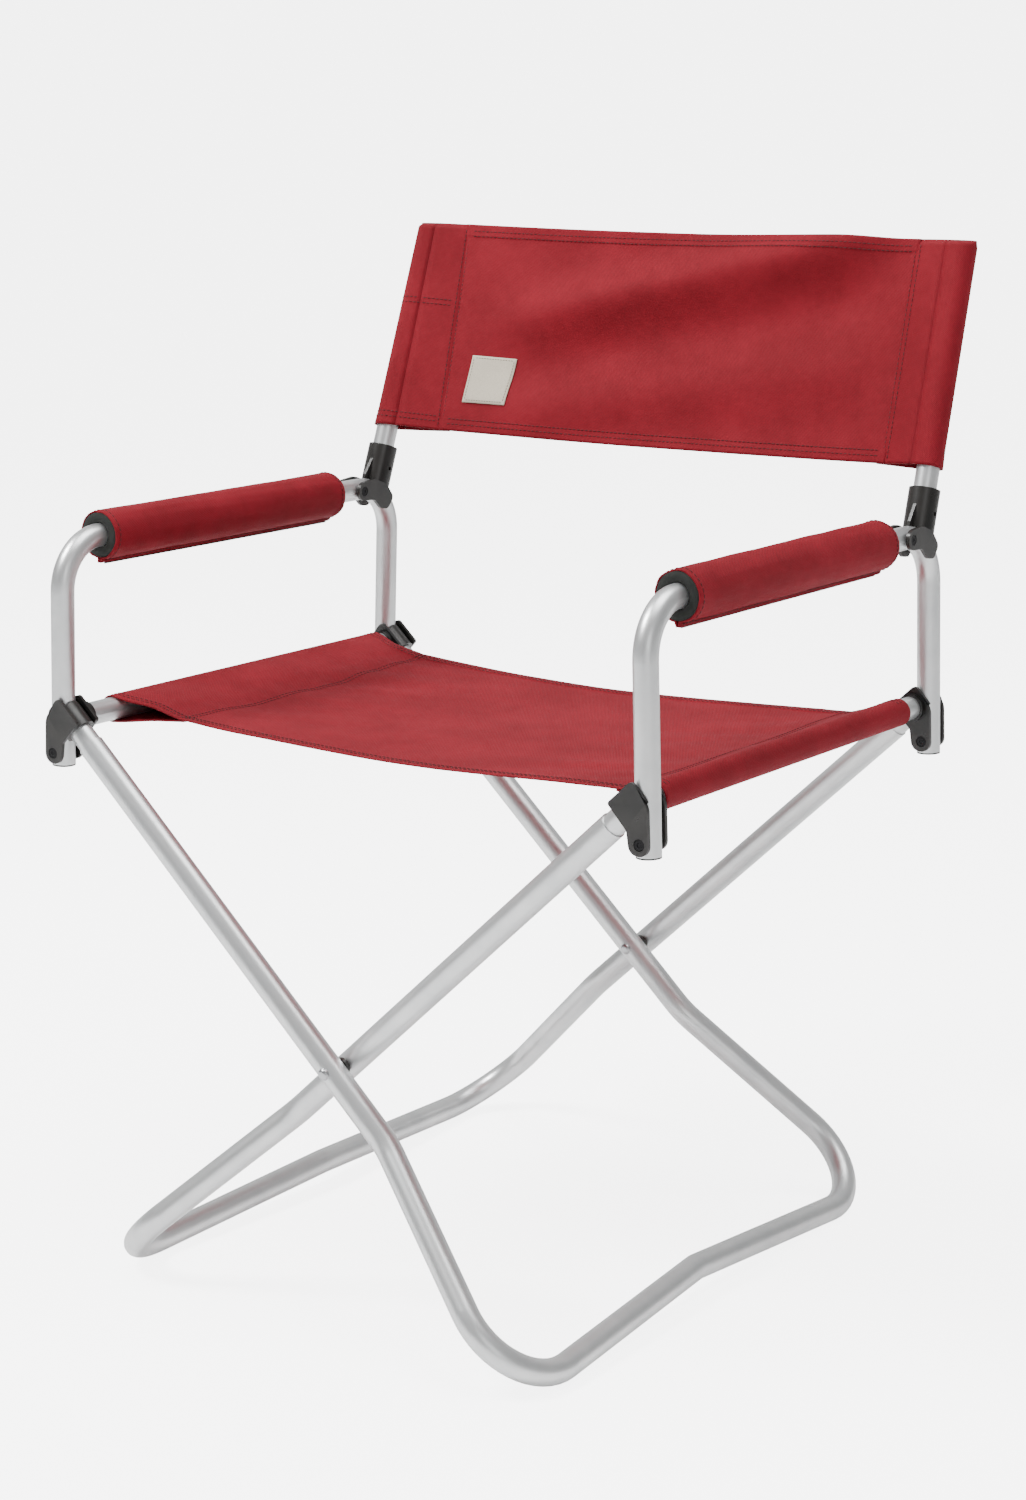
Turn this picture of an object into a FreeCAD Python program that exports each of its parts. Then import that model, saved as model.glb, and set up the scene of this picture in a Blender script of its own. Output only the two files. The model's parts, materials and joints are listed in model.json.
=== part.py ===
import FreeCAD, Part
import math
import os

import Sketcher

# Folding director chair: two crossed tube frames, a seat sling, two armrests and a folding back.
# Millimetres, +Z up, +Y to the back; the left side is at -X, as seen from in front of the chair.
# The origin lies on the floor, in the middle of the open chair.

Vector = FreeCAD.Vector
Rotation = FreeCAD.Rotation
Placement = FreeCAD.Placement

DIMENSIONS = [
    # leg frames
    ("legDiameter", 20.5, "outer diameter of the two leg frames"),
    ("legWall", 0.9, "wall of the leg tubes"),
    ("halfDepth", 206.2, "half the distance between the two legs of one frame"),
    ("crossingHeight", 201.4, "height of the rivets where the frames cross"),
    ("flareStart", 71.6, "from the crossing down to the bend where a leg flares"),
    ("outerFlare", 63.0, "how far the leg that stands further out flares"),
    ("innerFlare", 74.0, "how far the other leg flares"),
    ("flareBend", 60.0, "radius of the bend where a leg flares"),
    ("footBend", 54.0, "radius of the two floor corners"),
    ("barSlope", 4.3, "angle at which a floor bar rises from each corner to its middle"),
    ("kinkBend", 22.0, "radius of the kink"),
    ("neckReveal", 28.0, "from the rail's axis down the leg to the end of the leg tube"),
    ("neckInsert", 34.0, "length of a neck inside its leg tube"),
    ("washerThickness", 2.3, "plate of the washer between the frames"),
    ("washerDiameter", 15.0, "diameter of the washers between the frames"),
    ("washerSeat", 1.6, "how deep a washer's saddle reaches round the tube"),
    ("frameGap", 0.35, "free gap between a washer and the frame that turns"),
    ("crossRivetDiameter", 6.0, "shank of the crossing rivets"),
    ("crossHeadDiameter", 9.5, "domed head of the crossing rivets"),
    ("crossHeadHeight", 2.4, "height of a crossing rivet's head"),
    # seat rails and corner brackets
    ("railHalfWidth", 259.0, "from the middle plane to a seat rail"),
    ("railHeight", 442.0, "height of the seat rails"),
    ("railDiameter", 18.6, "outer diameter of the seat rails"),
    ("railWall", 1.1, "wall of the seat rails and the necks"),
    ("bracketWall", 2.8, "plastic round the tubes in a corner bracket"),
    ("earThickness", 3.0, "thickness of a bracket's ears"),
    ("collarEnd", 13.5, "from the rail's axis down the leg to the end of the collar"),
    ("earTop", 14.0, "from the rail's axis up the slope to the top of an ear"),
    ("pinInset", 0.3, "how much less than an arm tube's radius the arm pin stands out from the rail's axis"),
    ("pinDown", 27.0, "from the rail's axis down to the arm pin"),
    ("lobeRadius", 8.2, "radius of an ear round the arm pin"),
    ("railCollar", 4.0, "length of the collar round the rail behind the inner ear"),
    ("spigotLength", 22.0, "length of a bracket's spigot inside the rail"),
    ("armPinDiameter", 6.0, "shank of the arm pins"),
    ("armPinHead", 8.4, "head of the arm pins, sunk in the ears"),
    ("armPinSink", 1.2, "depth of the recess for an arm pin's head"),
    # armrests
    ("armDiameter", 18.6, "outer diameter of the arm tubes"),
    ("armWall", 1.1, "wall of the arm tubes"),
    ("armRise", 167.5, "from the arm pin up to the axis of the armrest"),
    ("armDrop", 10.0, "from the arm pin down to the end of an arm post"),
    ("armBend", 40.0, "radius of the arm bends"),
    ("armLean", 1.8, "degrees by which the armrests lean inwards"),
    ("armSlot", 0.45, "free gap between an arm post and each ear"),
    ("plugDepth", 5.5, "depth of the end plugs in the arm posts"),
    ("plugRim", 1.2, "rim of the end plugs"),
    ("padStart", 41.0, "from the front arm post to the front of the pad"),
    ("padEnd", 335.0, "from the front arm post to the back of the pad"),
    ("foamDiameter", 36.0, "outer diameter of the foam grip"),
    ("foamFit", 0.15, "gap between the foam and the arm tube"),
    ("foamSlit", 2.0, "width of the slit along the foam"),
    ("coverThickness", 1.2, "thickness of the grip's cover"),
    ("padTaper", 7.0, "length of the tapered end of the pad"),
    ("padTaperDrop", 5.5, "how much the tapered end narrows"),
    ("flapWidth", 5.0, "how far the cover's closing seam stands out under the pad"),
    ("tapeThickness", 0.9, "thickness of the closing tape in that seam"),
    ("tapeWidth", 3.6, "width of the closing tape"),
    # back hinges and back posts
    ("pivotFromPost", 48.3, "from the rear arm post forward to the back's pivot"),
    ("postClear", 18.6, "from the surface of the arm tube back to the axis of the back post"),
    ("backLean", 19.0, "degrees by which the back leans backwards"),
    ("cheekThickness", 3.0, "thickness of a hinge cheek"),
    ("cheekGap", 0.35, "free gap between a cheek and the arm tube"),
    ("bossRadius", 7.6, "radius of a cheek round the pivot"),
    ("socketDiameter", 25.0, "outer diameter of the back post's socket"),
    ("socketTop", 46.5, "top of the socket above the pivot, along the post"),
    ("socketFloor", 16.5, "bottom of the socket's bore, along the post"),
    ("ribThickness", 2.6, "thickness of the rib in front of the socket"),
    ("cheekReach", 41.5, "from the pivot back to the far end of a cheek"),
    ("cheekDrop", 18.5, "from the pivot down to the lowest corner of a cheek's tail"),
    ("cheekTop", 9.6, "height of a cheek above the pivot, where it meets the socket"),
    ("boltDiameter", 6.0, "shank of the pivot bolts"),
    ("boltHead", 8.0, "head of the pivot bolts, sunk in the cheeks"),
    ("boltSink", 1.2, "depth of the recess for a pivot bolt's head"),
    ("postDiameter", 18.6, "outer diameter of the back posts"),
    ("postWall", 1.1, "wall of the back posts"),
    ("postTop", 240.0, "top of a back post above the pivot, along the post"),
    ("capHeight", 3.0, "height of a back post's cap"),
    ("socketRivetDiameter", 3.6, "rivet that holds a back post in its socket"),
    ("socketRivetAt", 27.0, "height of that rivet above the pivot, along the post"),
    # fabric
    ("slingThickness", 1.4, "thickness of the slings"),
    ("slingGap", 0.4, "gap between a sleeve and its tube"),
    ("seatInset", 7.0, "from a bracket's rail collar to the seat sling"),
    ("seatSag", 14.0, "sag of the middle of the seat below its sides"),
    ("slingFoot", 64.0, "lower edge of the back sling above the pivot, along the post"),
    ("slingHeight", 184.0, "height of the back sling"),
    ("labelWidth", 43.0, "width of the sewn label"),
    ("labelSide", 42.0, "height of the sewn label"),
    ("labelThickness", 0.8, "thickness of the label"),
    ("labelFromSide", 67.0, "from the left back post to the near side of the label"),
    ("labelFromFoot", 22.0, "from the lower edge of the back sling to the label"),
    ("runningFit", 0.05, "radial clearance of a turning fit"),
]

document = FreeCAD.newDocument("director_chair")
sheet = document.addObject("Spreadsheet::Sheet", "dimensions")
for row, (alias, number, note) in enumerate(DIMENSIONS, start=1):
    sheet.set(f"A{row}", note)
    sheet.set(f"B{row}", str(number))
    sheet.setAlias(f"B{row}", alias)
document.recompute()


class Size:
    """A length or an angle, as a number and as the expression that gives it from the sheet."""

    def __init__(self, text, value):
        self.text = text
        self.value = value

    def __add__(self, other):
        other = asSize(other)
        return Size(f"({self.text} + {other.text})", self.value + other.value)

    def __sub__(self, other):
        other = asSize(other)
        return Size(f"({self.text} - {other.text})", self.value - other.value)

    def __mul__(self, other):
        other = asSize(other)
        return Size(f"({self.text} * {other.text})", self.value * other.value)

    def __truediv__(self, other):
        other = asSize(other)
        return Size(f"({self.text} / {other.text})", self.value / other.value)

    def __neg__(self):
        return Size(f"(-1 * {self.text})", -self.value)

    __radd__ = __add__
    __rmul__ = __mul__

    def __rsub__(self, other):
        return asSize(other) - self


def asSize(value):
    return value if isinstance(value, Size) else Size(repr(float(value)), float(value))


def root(size):
    return Size(f"sqrt({size.text})", math.sqrt(size.value))


def sine(size):
    return Size(f"sin({size.text})", math.sin(math.radians(size.value)))


def cosine(size):
    return Size(f"cos({size.text})", math.cos(math.radians(size.value)))


def angleOf(rise, run):
    return Size(f"(atan({rise.text} / {run.text}) / 1deg)", math.degrees(math.atan(rise.value / run.value)))


dim = {alias: Size(f"dimensions.{alias}", float(sheet.get(alias))) for alias, _, _ in DIMENSIONS}


def bind(feature, name, size):
    """Set a property to a size and tie it to the sheet."""
    setattr(feature, name, asSize(size).value)
    feature.setExpression(name, asSize(size).text)


# Sizes that follow from the driving ones.
slopeRise = dim["railHeight"] - dim["crossingHeight"]
slopeRun = dim["railHalfWidth"]
crossToRail = root(slopeRise * slopeRise + slopeRun * slopeRun)
legSlope = angleOf(slopeRise, slopeRun)
legRadius = dim["legDiameter"] / 2
crossToFloor = (dim["crossingHeight"] - legRadius) / sine(legSlope)
frameStagger = dim["legDiameter"] + dim["washerThickness"] + dim["frameGap"]
railRadius = dim["railDiameter"] / 2
collarRadius = railRadius + dim["bracketWall"]
armRadius = dim["armDiameter"] / 2
pinOut = armRadius - dim["pinInset"]
earInside = armRadius + dim["armSlot"]
earOutside = earInside + dim["earThickness"]
armSpan = dim["halfDepth"] * 2
pivotBack = armSpan - dim["pivotFromPost"]
cheekInside = armRadius + dim["cheekGap"]
cheekOutside = cheekInside + dim["cheekThickness"]
postRadius = dim["postDiameter"] / 2
sleeveInside = railRadius + dim["slingGap"]
backSleeveInside = postRadius + dim["slingGap"]
railStart = earOutside + dim["railCollar"]
neckRadius = legRadius - dim["legWall"] - dim["runningFit"]
postOffset = armRadius + dim["postClear"]

PLANES = {"Z": "XY_Plane", "Y": "XZ_Plane", "X": "YZ_Plane"}


def newBody(label, place):
    body = document.addObject("PartDesign::Body", label)
    body.Label = label
    body.Placement = place
    return body


def newSketch(body, name, normal, offset=None):
    """A sketch on an origin plane of the body; offset moves it along that plane's own normal."""
    sketch = body.newObject("Sketcher::SketchObject", name)
    plane = [item for item in body.Origin.OriginFeatures if item.Role == PLANES[normal]][0]
    sketch.AttachmentSupport = [(plane, "")]
    sketch.MapMode = "FlatFace"
    if offset is not None:
        sketch.AttachmentOffset = Placement(Vector(0, 0, offset.value), Rotation())
        sketch.setExpression("AttachmentOffset.Base.z", offset.text)
    return sketch


def pin(sketch, geometry, point, x, y):
    """Fix a point of the sketch at (x, y) from its origin."""
    for kind, size in (("DistanceX", asSize(x)), ("DistanceY", asSize(y))):
        if abs(size.value) < 1e-9:
            axis = -2 if kind == "DistanceX" else -1
            sketch.addConstraint(Sketcher.Constraint("PointOnObject", geometry, point, axis))
        else:
            index = sketch.addConstraint(
                Sketcher.Constraint(kind, -1, 1, geometry, point, size.value)
            )
            sketch.setExpression(f"Constraints[{index}]", size.text)


def addCircle(sketch, radius, x=0.0, y=0.0):
    radius = asSize(radius)
    centre = Vector(asSize(x).value, asSize(y).value, 0)
    circle = sketch.addGeometry(Part.Circle(centre, Vector(0, 0, 1), radius.value), False)
    index = sketch.addConstraint(Sketcher.Constraint("Radius", circle, radius.value))
    sketch.setExpression(f"Constraints[{index}]", radius.text)
    if isinstance(x, float) and isinstance(y, float) and x == 0.0 and y == 0.0:
        sketch.addConstraint(Sketcher.Constraint("Coincident", circle, 3, -1, 1))
    else:
        pin(sketch, circle, 3, x, y)


def cornerArc(before, corner, after, radius):
    """Start, end, centre and turn of the arc that rounds a corner."""
    back = (before - corner).normalize()
    ahead = (after - corner).normalize()
    opening = back.getAngle(ahead)
    reach = radius / math.tan(opening / 2)
    middle = (back + ahead).normalize()
    centre = corner + middle * (radius / math.sin(opening / 2))
    turnsLeft = (corner - before).cross(after - corner).z > 0
    return corner + back * reach, corner + ahead * reach, centre, turnsLeft


def addOutline(sketch, corners, closed):
    """Straight runs through the corners, each an (x, y, radius or None), rounded by tangent arcs."""
    points = [Vector(asSize(x).value, asSize(y).value, 0) for x, y, _ in corners]
    count = len(points)
    arcs = {}
    for index, (_, _, radius) in enumerate(corners):
        if radius is not None:
            before = points[index - 1]
            after = points[(index + 1) % count]
            arcs[index] = cornerArc(before, points[index], after, asSize(radius).value)
    lines = []
    runs = count if closed else count - 1
    for index in range(runs):
        following = (index + 1) % count
        start = arcs[index][1] if index in arcs else points[index]
        end = arcs[following][0] if following in arcs else points[following]
        lines.append(sketch.addGeometry(Part.LineSegment(start, end), False))
    for index, (x, y, radius) in enumerate(corners):
        leaving = lines[index] if index < runs else None
        arriving = lines[index - 1] if index > 0 or closed else None
        if radius is None:
            if leaving is not None:
                pin(sketch, leaving, 1, x, y)
            else:
                pin(sketch, arriving, 2, x, y)
            if leaving is not None and arriving is not None:
                sketch.addConstraint(Sketcher.Constraint("Coincident", arriving, 2, leaving, 1))
            continue
        start, end, centre, turnsLeft = arcs[index]
        circle = Part.Circle(centre, Vector(0, 0, 1), asSize(radius).value)
        first = math.atan2(start.y - centre.y, start.x - centre.x)
        last = math.atan2(end.y - centre.y, end.x - centre.x)
        if not turnsLeft:
            first, last = last, first
        arc = sketch.addGeometry(Part.ArcOfCircle(circle, first, last), False)
        arcStart, arcEnd = (1, 2) if turnsLeft else (2, 1)
        sketch.addConstraint(Sketcher.Constraint("Tangent", arriving, 2, arc, arcStart))
        sketch.addConstraint(Sketcher.Constraint("Tangent", arc, arcEnd, leaving, 1))
        bend = sketch.addConstraint(Sketcher.Constraint("Radius", arc, asSize(radius).value))
        sketch.setExpression(f"Constraints[{bend}]", asSize(radius).text)
        vertex = sketch.addGeometry(Part.Point(points[index]), True)
        pin(sketch, vertex, 1, x, y)
        sketch.addConstraint(Sketcher.Constraint("PointOnObject", vertex, 1, arriving))
        sketch.addConstraint(Sketcher.Constraint("PointOnObject", vertex, 1, leaving))


def addRectangle(sketch, left, low, right, high):
    corners = [(left, low, None), (right, low, None), (right, high, None), (left, high, None)]
    addOutline(sketch, corners, closed=True)


def pad(body, name, sketch, length, both=False, reverse=False):
    feature = body.newObject("PartDesign::Pad", name)
    feature.Profile = sketch
    feature.Midplane = both
    feature.Reversed = reverse
    bind(feature, "Length", length)
    document.recompute()


def cut(body, name, sketch, length, needed=True):
    """A pocket to both sides of its sketch, which has to take something away if it is needed."""
    before = body.Shape.Volume
    feature = body.newObject("PartDesign::Pocket", name)
    feature.Profile = sketch
    feature.Midplane = True
    bind(feature, "Length", length)
    document.recompute()
    if needed and body.Shape.Volume > before - 1e-3:
        raise ValueError(f"{body.Label}: {name} cuts nothing")


def turn(body, name, sketch, axis):
    feature = body.newObject("PartDesign::Revolution", name)
    feature.Profile = sketch
    feature.ReferenceAxis = (sketch, [axis])
    feature.Angle = 360.0
    document.recompute()


def sweep(body, name, profile, path):
    feature = body.newObject("PartDesign::AdditivePipe", name)
    feature.Profile = profile
    feature.Spine = path
    document.recompute()


def alongLeg(down, up):
    """A bracket's side view: from the corner down the leg, and square to it on its upper side."""
    run, rise = cosine(legSlope), sine(legSlope)
    return -(down * run) - up * rise, up * run - down * rise


def alongPost(up, back):
    """A hinge's side view: from the pivot up the leaning post, and square to it, backwards."""
    lean, rise = sine(dim["backLean"]), cosine(dim["backLean"])
    return up * lean + back * rise, up * rise - back * lean


def addRod(body, name, radius, length, foot, direction, cutting=False):
    """A cylinder in or out of a body; foot is the centre of its first end, as three sizes."""
    before = body.Shape.Volume if cutting else 0.0
    kind = "Subtractive" if cutting else "Additive"
    rod = body.newObject(f"PartDesign::{kind}Cylinder", name)
    bind(rod, "Radius", radius)
    bind(rod, "Height", length)
    foot = [asSize(size) for size in foot]
    turned = Rotation(Vector(0, 0, 1), direction)
    rod.Placement = Placement(Vector(*[size.value for size in foot]), turned)
    for letter, size in zip("xyz", foot):
        rod.setExpression(f"Placement.Base.{letter}", size.text)
    document.recompute()
    if cutting and body.Shape.Volume > before - 1e-3:
        raise ValueError(f"{body.Label}: {name} cuts nothing")


def makeLegFrame(name, place):
    """One bent tube: two legs, flared at the foot, and the bar between them on the floor."""
    body = newBody(name, place)
    start = dim["neckReveal"] - crossToRail
    near = -dim["halfDepth"]
    footReach = {}
    for end in ("outer", "inner"):
        flareAngle = angleOf(dim[f"{end}Flare"], crossToFloor - dim["flareStart"])
        turning = 90 - flareAngle - dim["barSlope"]
        overrun = dim["footBend"] * (cosine(flareAngle + turning / 2) / sine(turning / 2) - 1)
        footReach[end] = crossToFloor + overrun
    slope = sine(dim["barSlope"]) / cosine(dim["barSlope"])
    flareExcess = dim["innerFlare"] - dim["outerFlare"]
    kinkAcross = (flareExcess + (footReach["outer"] - footReach["inner"]) / slope) / 2
    kinkReach = footReach["outer"] - slope * (dim["halfDepth"] + dim["outerFlare"] + kinkAcross)
    path = newSketch(body, f"{name}_path", "Z")
    corners = [
        (start, near, None),
        (dim["flareStart"], near, dim["flareBend"]),
        (footReach["outer"], near - dim["outerFlare"], dim["footBend"]),
        (kinkReach, kinkAcross, dim["kinkBend"]),
        (footReach["inner"], dim["halfDepth"] + dim["innerFlare"], dim["footBend"]),
        (dim["flareStart"], dim["halfDepth"], dim["flareBend"]),
        (start, dim["halfDepth"], None),
    ]
    addOutline(path, corners, closed=False)
    section = newSketch(body, f"{name}_section", "X", start)
    addCircle(section, legRadius, near, 0.0)
    addCircle(section, legRadius - dim["legWall"], near, 0.0)
    sweep(body, f"{name}_tube", section, path)
    hole = newSketch(body, f"{name}_hole", "Y")
    addCircle(hole, dim["crossRivetDiameter"] / 2 + dim["runningFit"])
    cut(body, f"{name}_rivet_holes", hole, (dim["halfDepth"] + dim["legDiameter"]) * 2)
    return body


def makeNeck(name, place):
    """Straight tube from a corner bracket into the top of a leg."""
    body = newBody(name, place)
    section = newSketch(body, f"{name}_section", "X", dim["collarEnd"] - crossToRail)
    addCircle(section, neckRadius)
    addCircle(section, neckRadius - dim["railWall"])
    pad(body, f"{name}_tube", section, dim["neckReveal"] + dim["neckInsert"] - dim["collarEnd"])
    return body


def makeRail(name, place):
    body = newBody(name, place)
    section = newSketch(body, f"{name}_section", "Y")
    addCircle(section, railRadius)
    addCircle(section, railRadius - dim["railWall"])
    pad(body, f"{name}_tube", section, (dim["halfDepth"] - railStart) * 2, both=True)
    return body


def makeBracket(name, place, railSide):
    """Moulded corner: +X is outwards, the rail leaves along railSide times +Y."""
    body = newBody(name, place)
    pinLeft = pinOut - dim["lobeRadius"]
    pinRight = pinOut + dim["lobeRadius"]
    lobeFoot = -dim["pinDown"] - dim["lobeRadius"]
    tight = dim["lobeRadius"] * 0.97
    outline = newSketch(body, f"{name}_side", "Y")
    corners = [
        (*alongLeg(-dim["earTop"], collarRadius), asSize(4)),
        (*alongLeg(dim["collarEnd"], collarRadius), asSize(2.2)),
        (*alongLeg(dim["collarEnd"], -collarRadius), asSize(3)),
        (pinLeft, lobeFoot, tight),
        (pinRight, lobeFoot, tight),
        (pinRight - 1.5, asSize(0), asSize(14)),
        (*alongLeg(-dim["earTop"], collarRadius * 0.4), asSize(3)),
    ]
    addOutline(outline, corners, closed=True)
    pad(body, f"{name}_block", outline, earOutside * 2, both=True)
    width = dim["lobeRadius"] * 12
    gap = newSketch(body, f"{name}_gap", "Y")
    addRectangle(gap, -width, -width, width, width)
    cut(body, f"{name}_ear_gap", gap, earInside * 2)

    slope = Vector(-cosine(legSlope).value, 0, -sine(legSlope).value)
    top, side = alongLeg(-dim["earTop"], asSize(0))
    addRod(body, f"{name}_collar", collarRadius, dim["earTop"] + dim["collarEnd"], (top, 0, side), slope)
    reach = dim["pinDown"] + dim["earTop"] + dim["bracketWall"]
    slotInside = pinOut - armRadius - dim["armSlot"] - reach * sine(dim["armLean"])
    slot = newSketch(body, f"{name}_slot", "Y")
    addRectangle(slot, slotInside, -width, width, width)
    cut(body, f"{name}_post_slot", slot, earInside * 2)
    swing = newSketch(body, f"{name}_swing", "Y")
    drop = dim["armDrop"] + dim["plugRim"]
    swingRadius = root(armRadius * armRadius + drop * drop) + dim["armSlot"]
    addCircle(swing, swingRadius, pinOut, -dim["pinDown"])
    cut(body, f"{name}_swing_room", swing, earInside * 2, needed=False)

    along = Vector(0, railSide, 0)
    addRod(
        body, f"{name}_rail_collar", railRadius + 2, railStart - earInside - 0.6,
        (0, (earInside + 0.6) * railSide, 0), along,
    )
    spigot = railRadius - dim["railWall"] - dim["runningFit"]
    addRod(
        body, f"{name}_rail_spigot", spigot, dim["spigotLength"] + 1,
        (0, (railStart - 1) * railSide, 0), along,
    )
    down, side = alongLeg(dim["collarEnd"] - 1, asSize(0))
    spigot = neckRadius - dim["railWall"] - dim["runningFit"]
    addRod(body, f"{name}_leg_spigot", spigot, dim["spigotLength"] + 1, (down, 0, side), slope)
    hole = newSketch(body, f"{name}_pin_hole", "Y")
    addCircle(hole, dim["armPinDiameter"] / 2, pinOut, -dim["pinDown"])
    cut(body, f"{name}_pin_holes", hole, earOutside * 2 + 4)
    for face, sign in (("front", 1), ("rear", -1)):
        recess = newSketch(body, f"{name}_{face}_recess", "Y", earOutside * sign)
        addCircle(recess, dim["armPinHead"] / 2 + 0.2, pinOut, -dim["pinDown"])
        cut(body, f"{name}_{face}_recess_cut", recess, dim["armPinSink"] * 2)
    return body


def makePin(name, place, normal, end, shank, headRadius, sink):
    """Pin along Y or X with a sunk head at both ends, each with a hollow in the middle."""
    body = newBody(name, place)
    profile = newSketch(body, f"{name}_half", "Z")
    head = sink - 0.2
    tip = end - 0.2
    hollow = shank * 0.5
    half = [
        (tip - head * 0.5, asSize(0)),
        (tip - head * 0.5, hollow),
        (tip, hollow + 0.3),
        (tip, headRadius - 0.3),
        (tip - 0.3, headRadius),
        (tip - head, headRadius),
        (tip - head, shank),
    ]
    corners = [(-along, out) for along, out in half] + [(along, out) for along, out in reversed(half)]
    if normal == "Y":
        corners = [(out, along) for along, out in corners]
    addOutline(profile, [(x, y, None) for x, y in corners], closed=True)
    turn(body, f"{name}_turned", profile, "V_Axis" if normal == "Y" else "H_Axis")
    return body


def makeCrossRivet(name, place):
    """Rivet along Y through both legs; its head is saddled on the tube of frame a."""
    body = newBody(name, place)
    shank = dim["crossRivetDiameter"] / 2
    headRadius = dim["crossHeadDiameter"] / 2
    crown = -legRadius - dim["crossHeadHeight"]
    profile = newSketch(body, f"{name}_head_half", "Z")
    corners = [
        (0, crown, None),
        (headRadius, crown, headRadius * 0.6),
        (headRadius, -legRadius * 0.8, None),
        (0, -legRadius * 0.8, None),
    ]
    addOutline(profile, corners, closed=True)
    turn(body, f"{name}_head", profile, "V_Axis")
    seat = newSketch(body, f"{name}_seat", "X")
    addCircle(seat, legRadius)
    cut(body, f"{name}_saddle", seat, headRadius * 4)
    tail = frameStagger + legRadius + dim["frameGap"]
    along = Vector(0, 1, 0)
    addRod(body, f"{name}_shank", shank, tail - crown - 1, (0, crown + 1, 0), along)
    addRod(body, f"{name}_tail", headRadius * 0.9, dim["crossHeadHeight"] * 0.8, (0, tail, 0), along)
    return body


def makeWasher(name, place):
    """Moulded spacer saddled on the tube of frame a, flat towards frame b."""
    body = newBody(name, place)
    seat = legRadius - dim["washerSeat"]
    along = Vector(0, 1, 0)
    length = dim["washerSeat"] + dim["washerThickness"]
    addRod(body, f"{name}_disc", dim["washerDiameter"] / 2, length, (0, seat, 0), along)
    saddle = newSketch(body, f"{name}_seat", "X")
    addCircle(saddle, legRadius)
    cut(body, f"{name}_saddle", saddle, dim["washerDiameter"] * 2)
    hole = newSketch(body, f"{name}_hole", "Y")
    addCircle(hole, dim["crossRivetDiameter"] / 2 + dim["runningFit"])
    cut(body, f"{name}_hole_cut", hole, legRadius * 4)
    return body


def makeArm(name, place):
    """One bent tube: front post, arm, rear post. Its origin is the front pin."""
    body = newBody(name, place)
    path = newSketch(body, f"{name}_path", "X")
    corners = [
        (0, -dim["armDrop"], None),
        (0, dim["armRise"], dim["armBend"]),
        (armSpan, dim["armRise"], dim["armBend"]),
        (armSpan, -dim["armDrop"], None),
    ]
    addOutline(path, corners, closed=False)
    section = newSketch(body, f"{name}_section", "Z", -dim["armDrop"])
    addCircle(section, armRadius)
    addCircle(section, armRadius - dim["armWall"])
    sweep(body, f"{name}_tube", section, path)
    hole = newSketch(body, f"{name}_pin_hole", "Y")
    addCircle(hole, dim["armPinDiameter"] / 2 + dim["runningFit"])
    cut(body, f"{name}_pin_holes", hole, (armSpan + dim["armDiameter"]) * 2)
    hole = newSketch(body, f"{name}_bolt_hole", "X")
    addCircle(hole, dim["boltDiameter"] / 2, pivotBack, dim["armRise"])
    cut(body, f"{name}_bolt_holes", hole, dim["armDiameter"] * 2)
    return body


def makePlug(name, place, tubeRadius, wall, rim, depth, upward):
    """Moulded plug: a rim over the tube's end and a stub inside the tube."""
    body = newBody(name, place)
    direction = Vector(0, 0, 1 if upward else -1)
    inward = -depth if upward else depth
    addRod(body, f"{name}_rim", tubeRadius, rim, (0, 0, 0), direction)
    stub = tubeRadius - wall - dim["runningFit"]
    addRod(body, f"{name}_stub", stub, depth + 0.5, (0, 0, inward), direction)
    return body


def makeFoam(name, place):
    """Split foam sleeve on the arm; its rear end is cut back to a cone."""
    body = newBody(name, place)
    outside = dim["foamDiameter"] / 2
    profile = newSketch(body, f"{name}_half", "X")
    corners = [
        (dim["padStart"], armRadius + dim["foamFit"], None),
        (dim["padEnd"], armRadius + dim["foamFit"], None),
        (dim["padEnd"], outside - dim["padTaperDrop"], None),
        (dim["padEnd"] - dim["padTaper"], outside, None),
        (dim["padStart"], outside, None),
    ]
    addOutline(profile, corners, closed=True)
    turn(body, f"{name}_turned", profile, "H_Axis")
    slit = newSketch(body, f"{name}_slit", "Y")
    half = dim["foamSlit"] / 2
    deep = -dim["foamDiameter"]
    addRectangle(slit, -half, deep, half, -1)
    cut(body, f"{name}_slit_cut", slit, armSpan * 2)
    return body


def makeCover(name, place):
    """Fabric round the foam, closed by a narrow seam under the pad."""
    body = newBody(name, place)
    inside = dim["foamDiameter"] / 2 + dim["foamFit"]
    outside = inside + dim["coverThickness"]
    start = dim["padStart"] - 1.5
    profile = newSketch(body, f"{name}_half", "X")
    corners = [
        (start, inside, None),
        (dim["padEnd"] - dim["padTaper"], inside, None),
        (dim["padEnd"], inside - dim["padTaperDrop"], None),
        (dim["padEnd"], outside - dim["padTaperDrop"], None),
        (dim["padEnd"] - dim["padTaper"], outside, None),
        (start, outside, None),
    ]
    addOutline(profile, corners, closed=True)
    turn(body, f"{name}_turned", profile, "H_Axis")
    half = dim["tapeThickness"] / 2 + dim["foamFit"]
    edge = half + dim["coverThickness"]
    hem = -outside - dim["flapWidth"]
    top = -inside - dim["coverThickness"] * 0.4
    flapStart = dim["padStart"] + 2
    flap = newSketch(body, f"{name}_flap", "Y", -flapStart)
    addRectangle(flap, -edge, hem, edge, top)
    pad(body, f"{name}_flap_pad", flap, dim["padEnd"] - dim["padTaper"] - flapStart, reverse=True)
    slit = newSketch(body, f"{name}_slit", "Y")
    addRectangle(slit, -half, hem - 2, half, -1)
    cut(body, f"{name}_slit_cut", slit, armSpan * 2)
    return body


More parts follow.
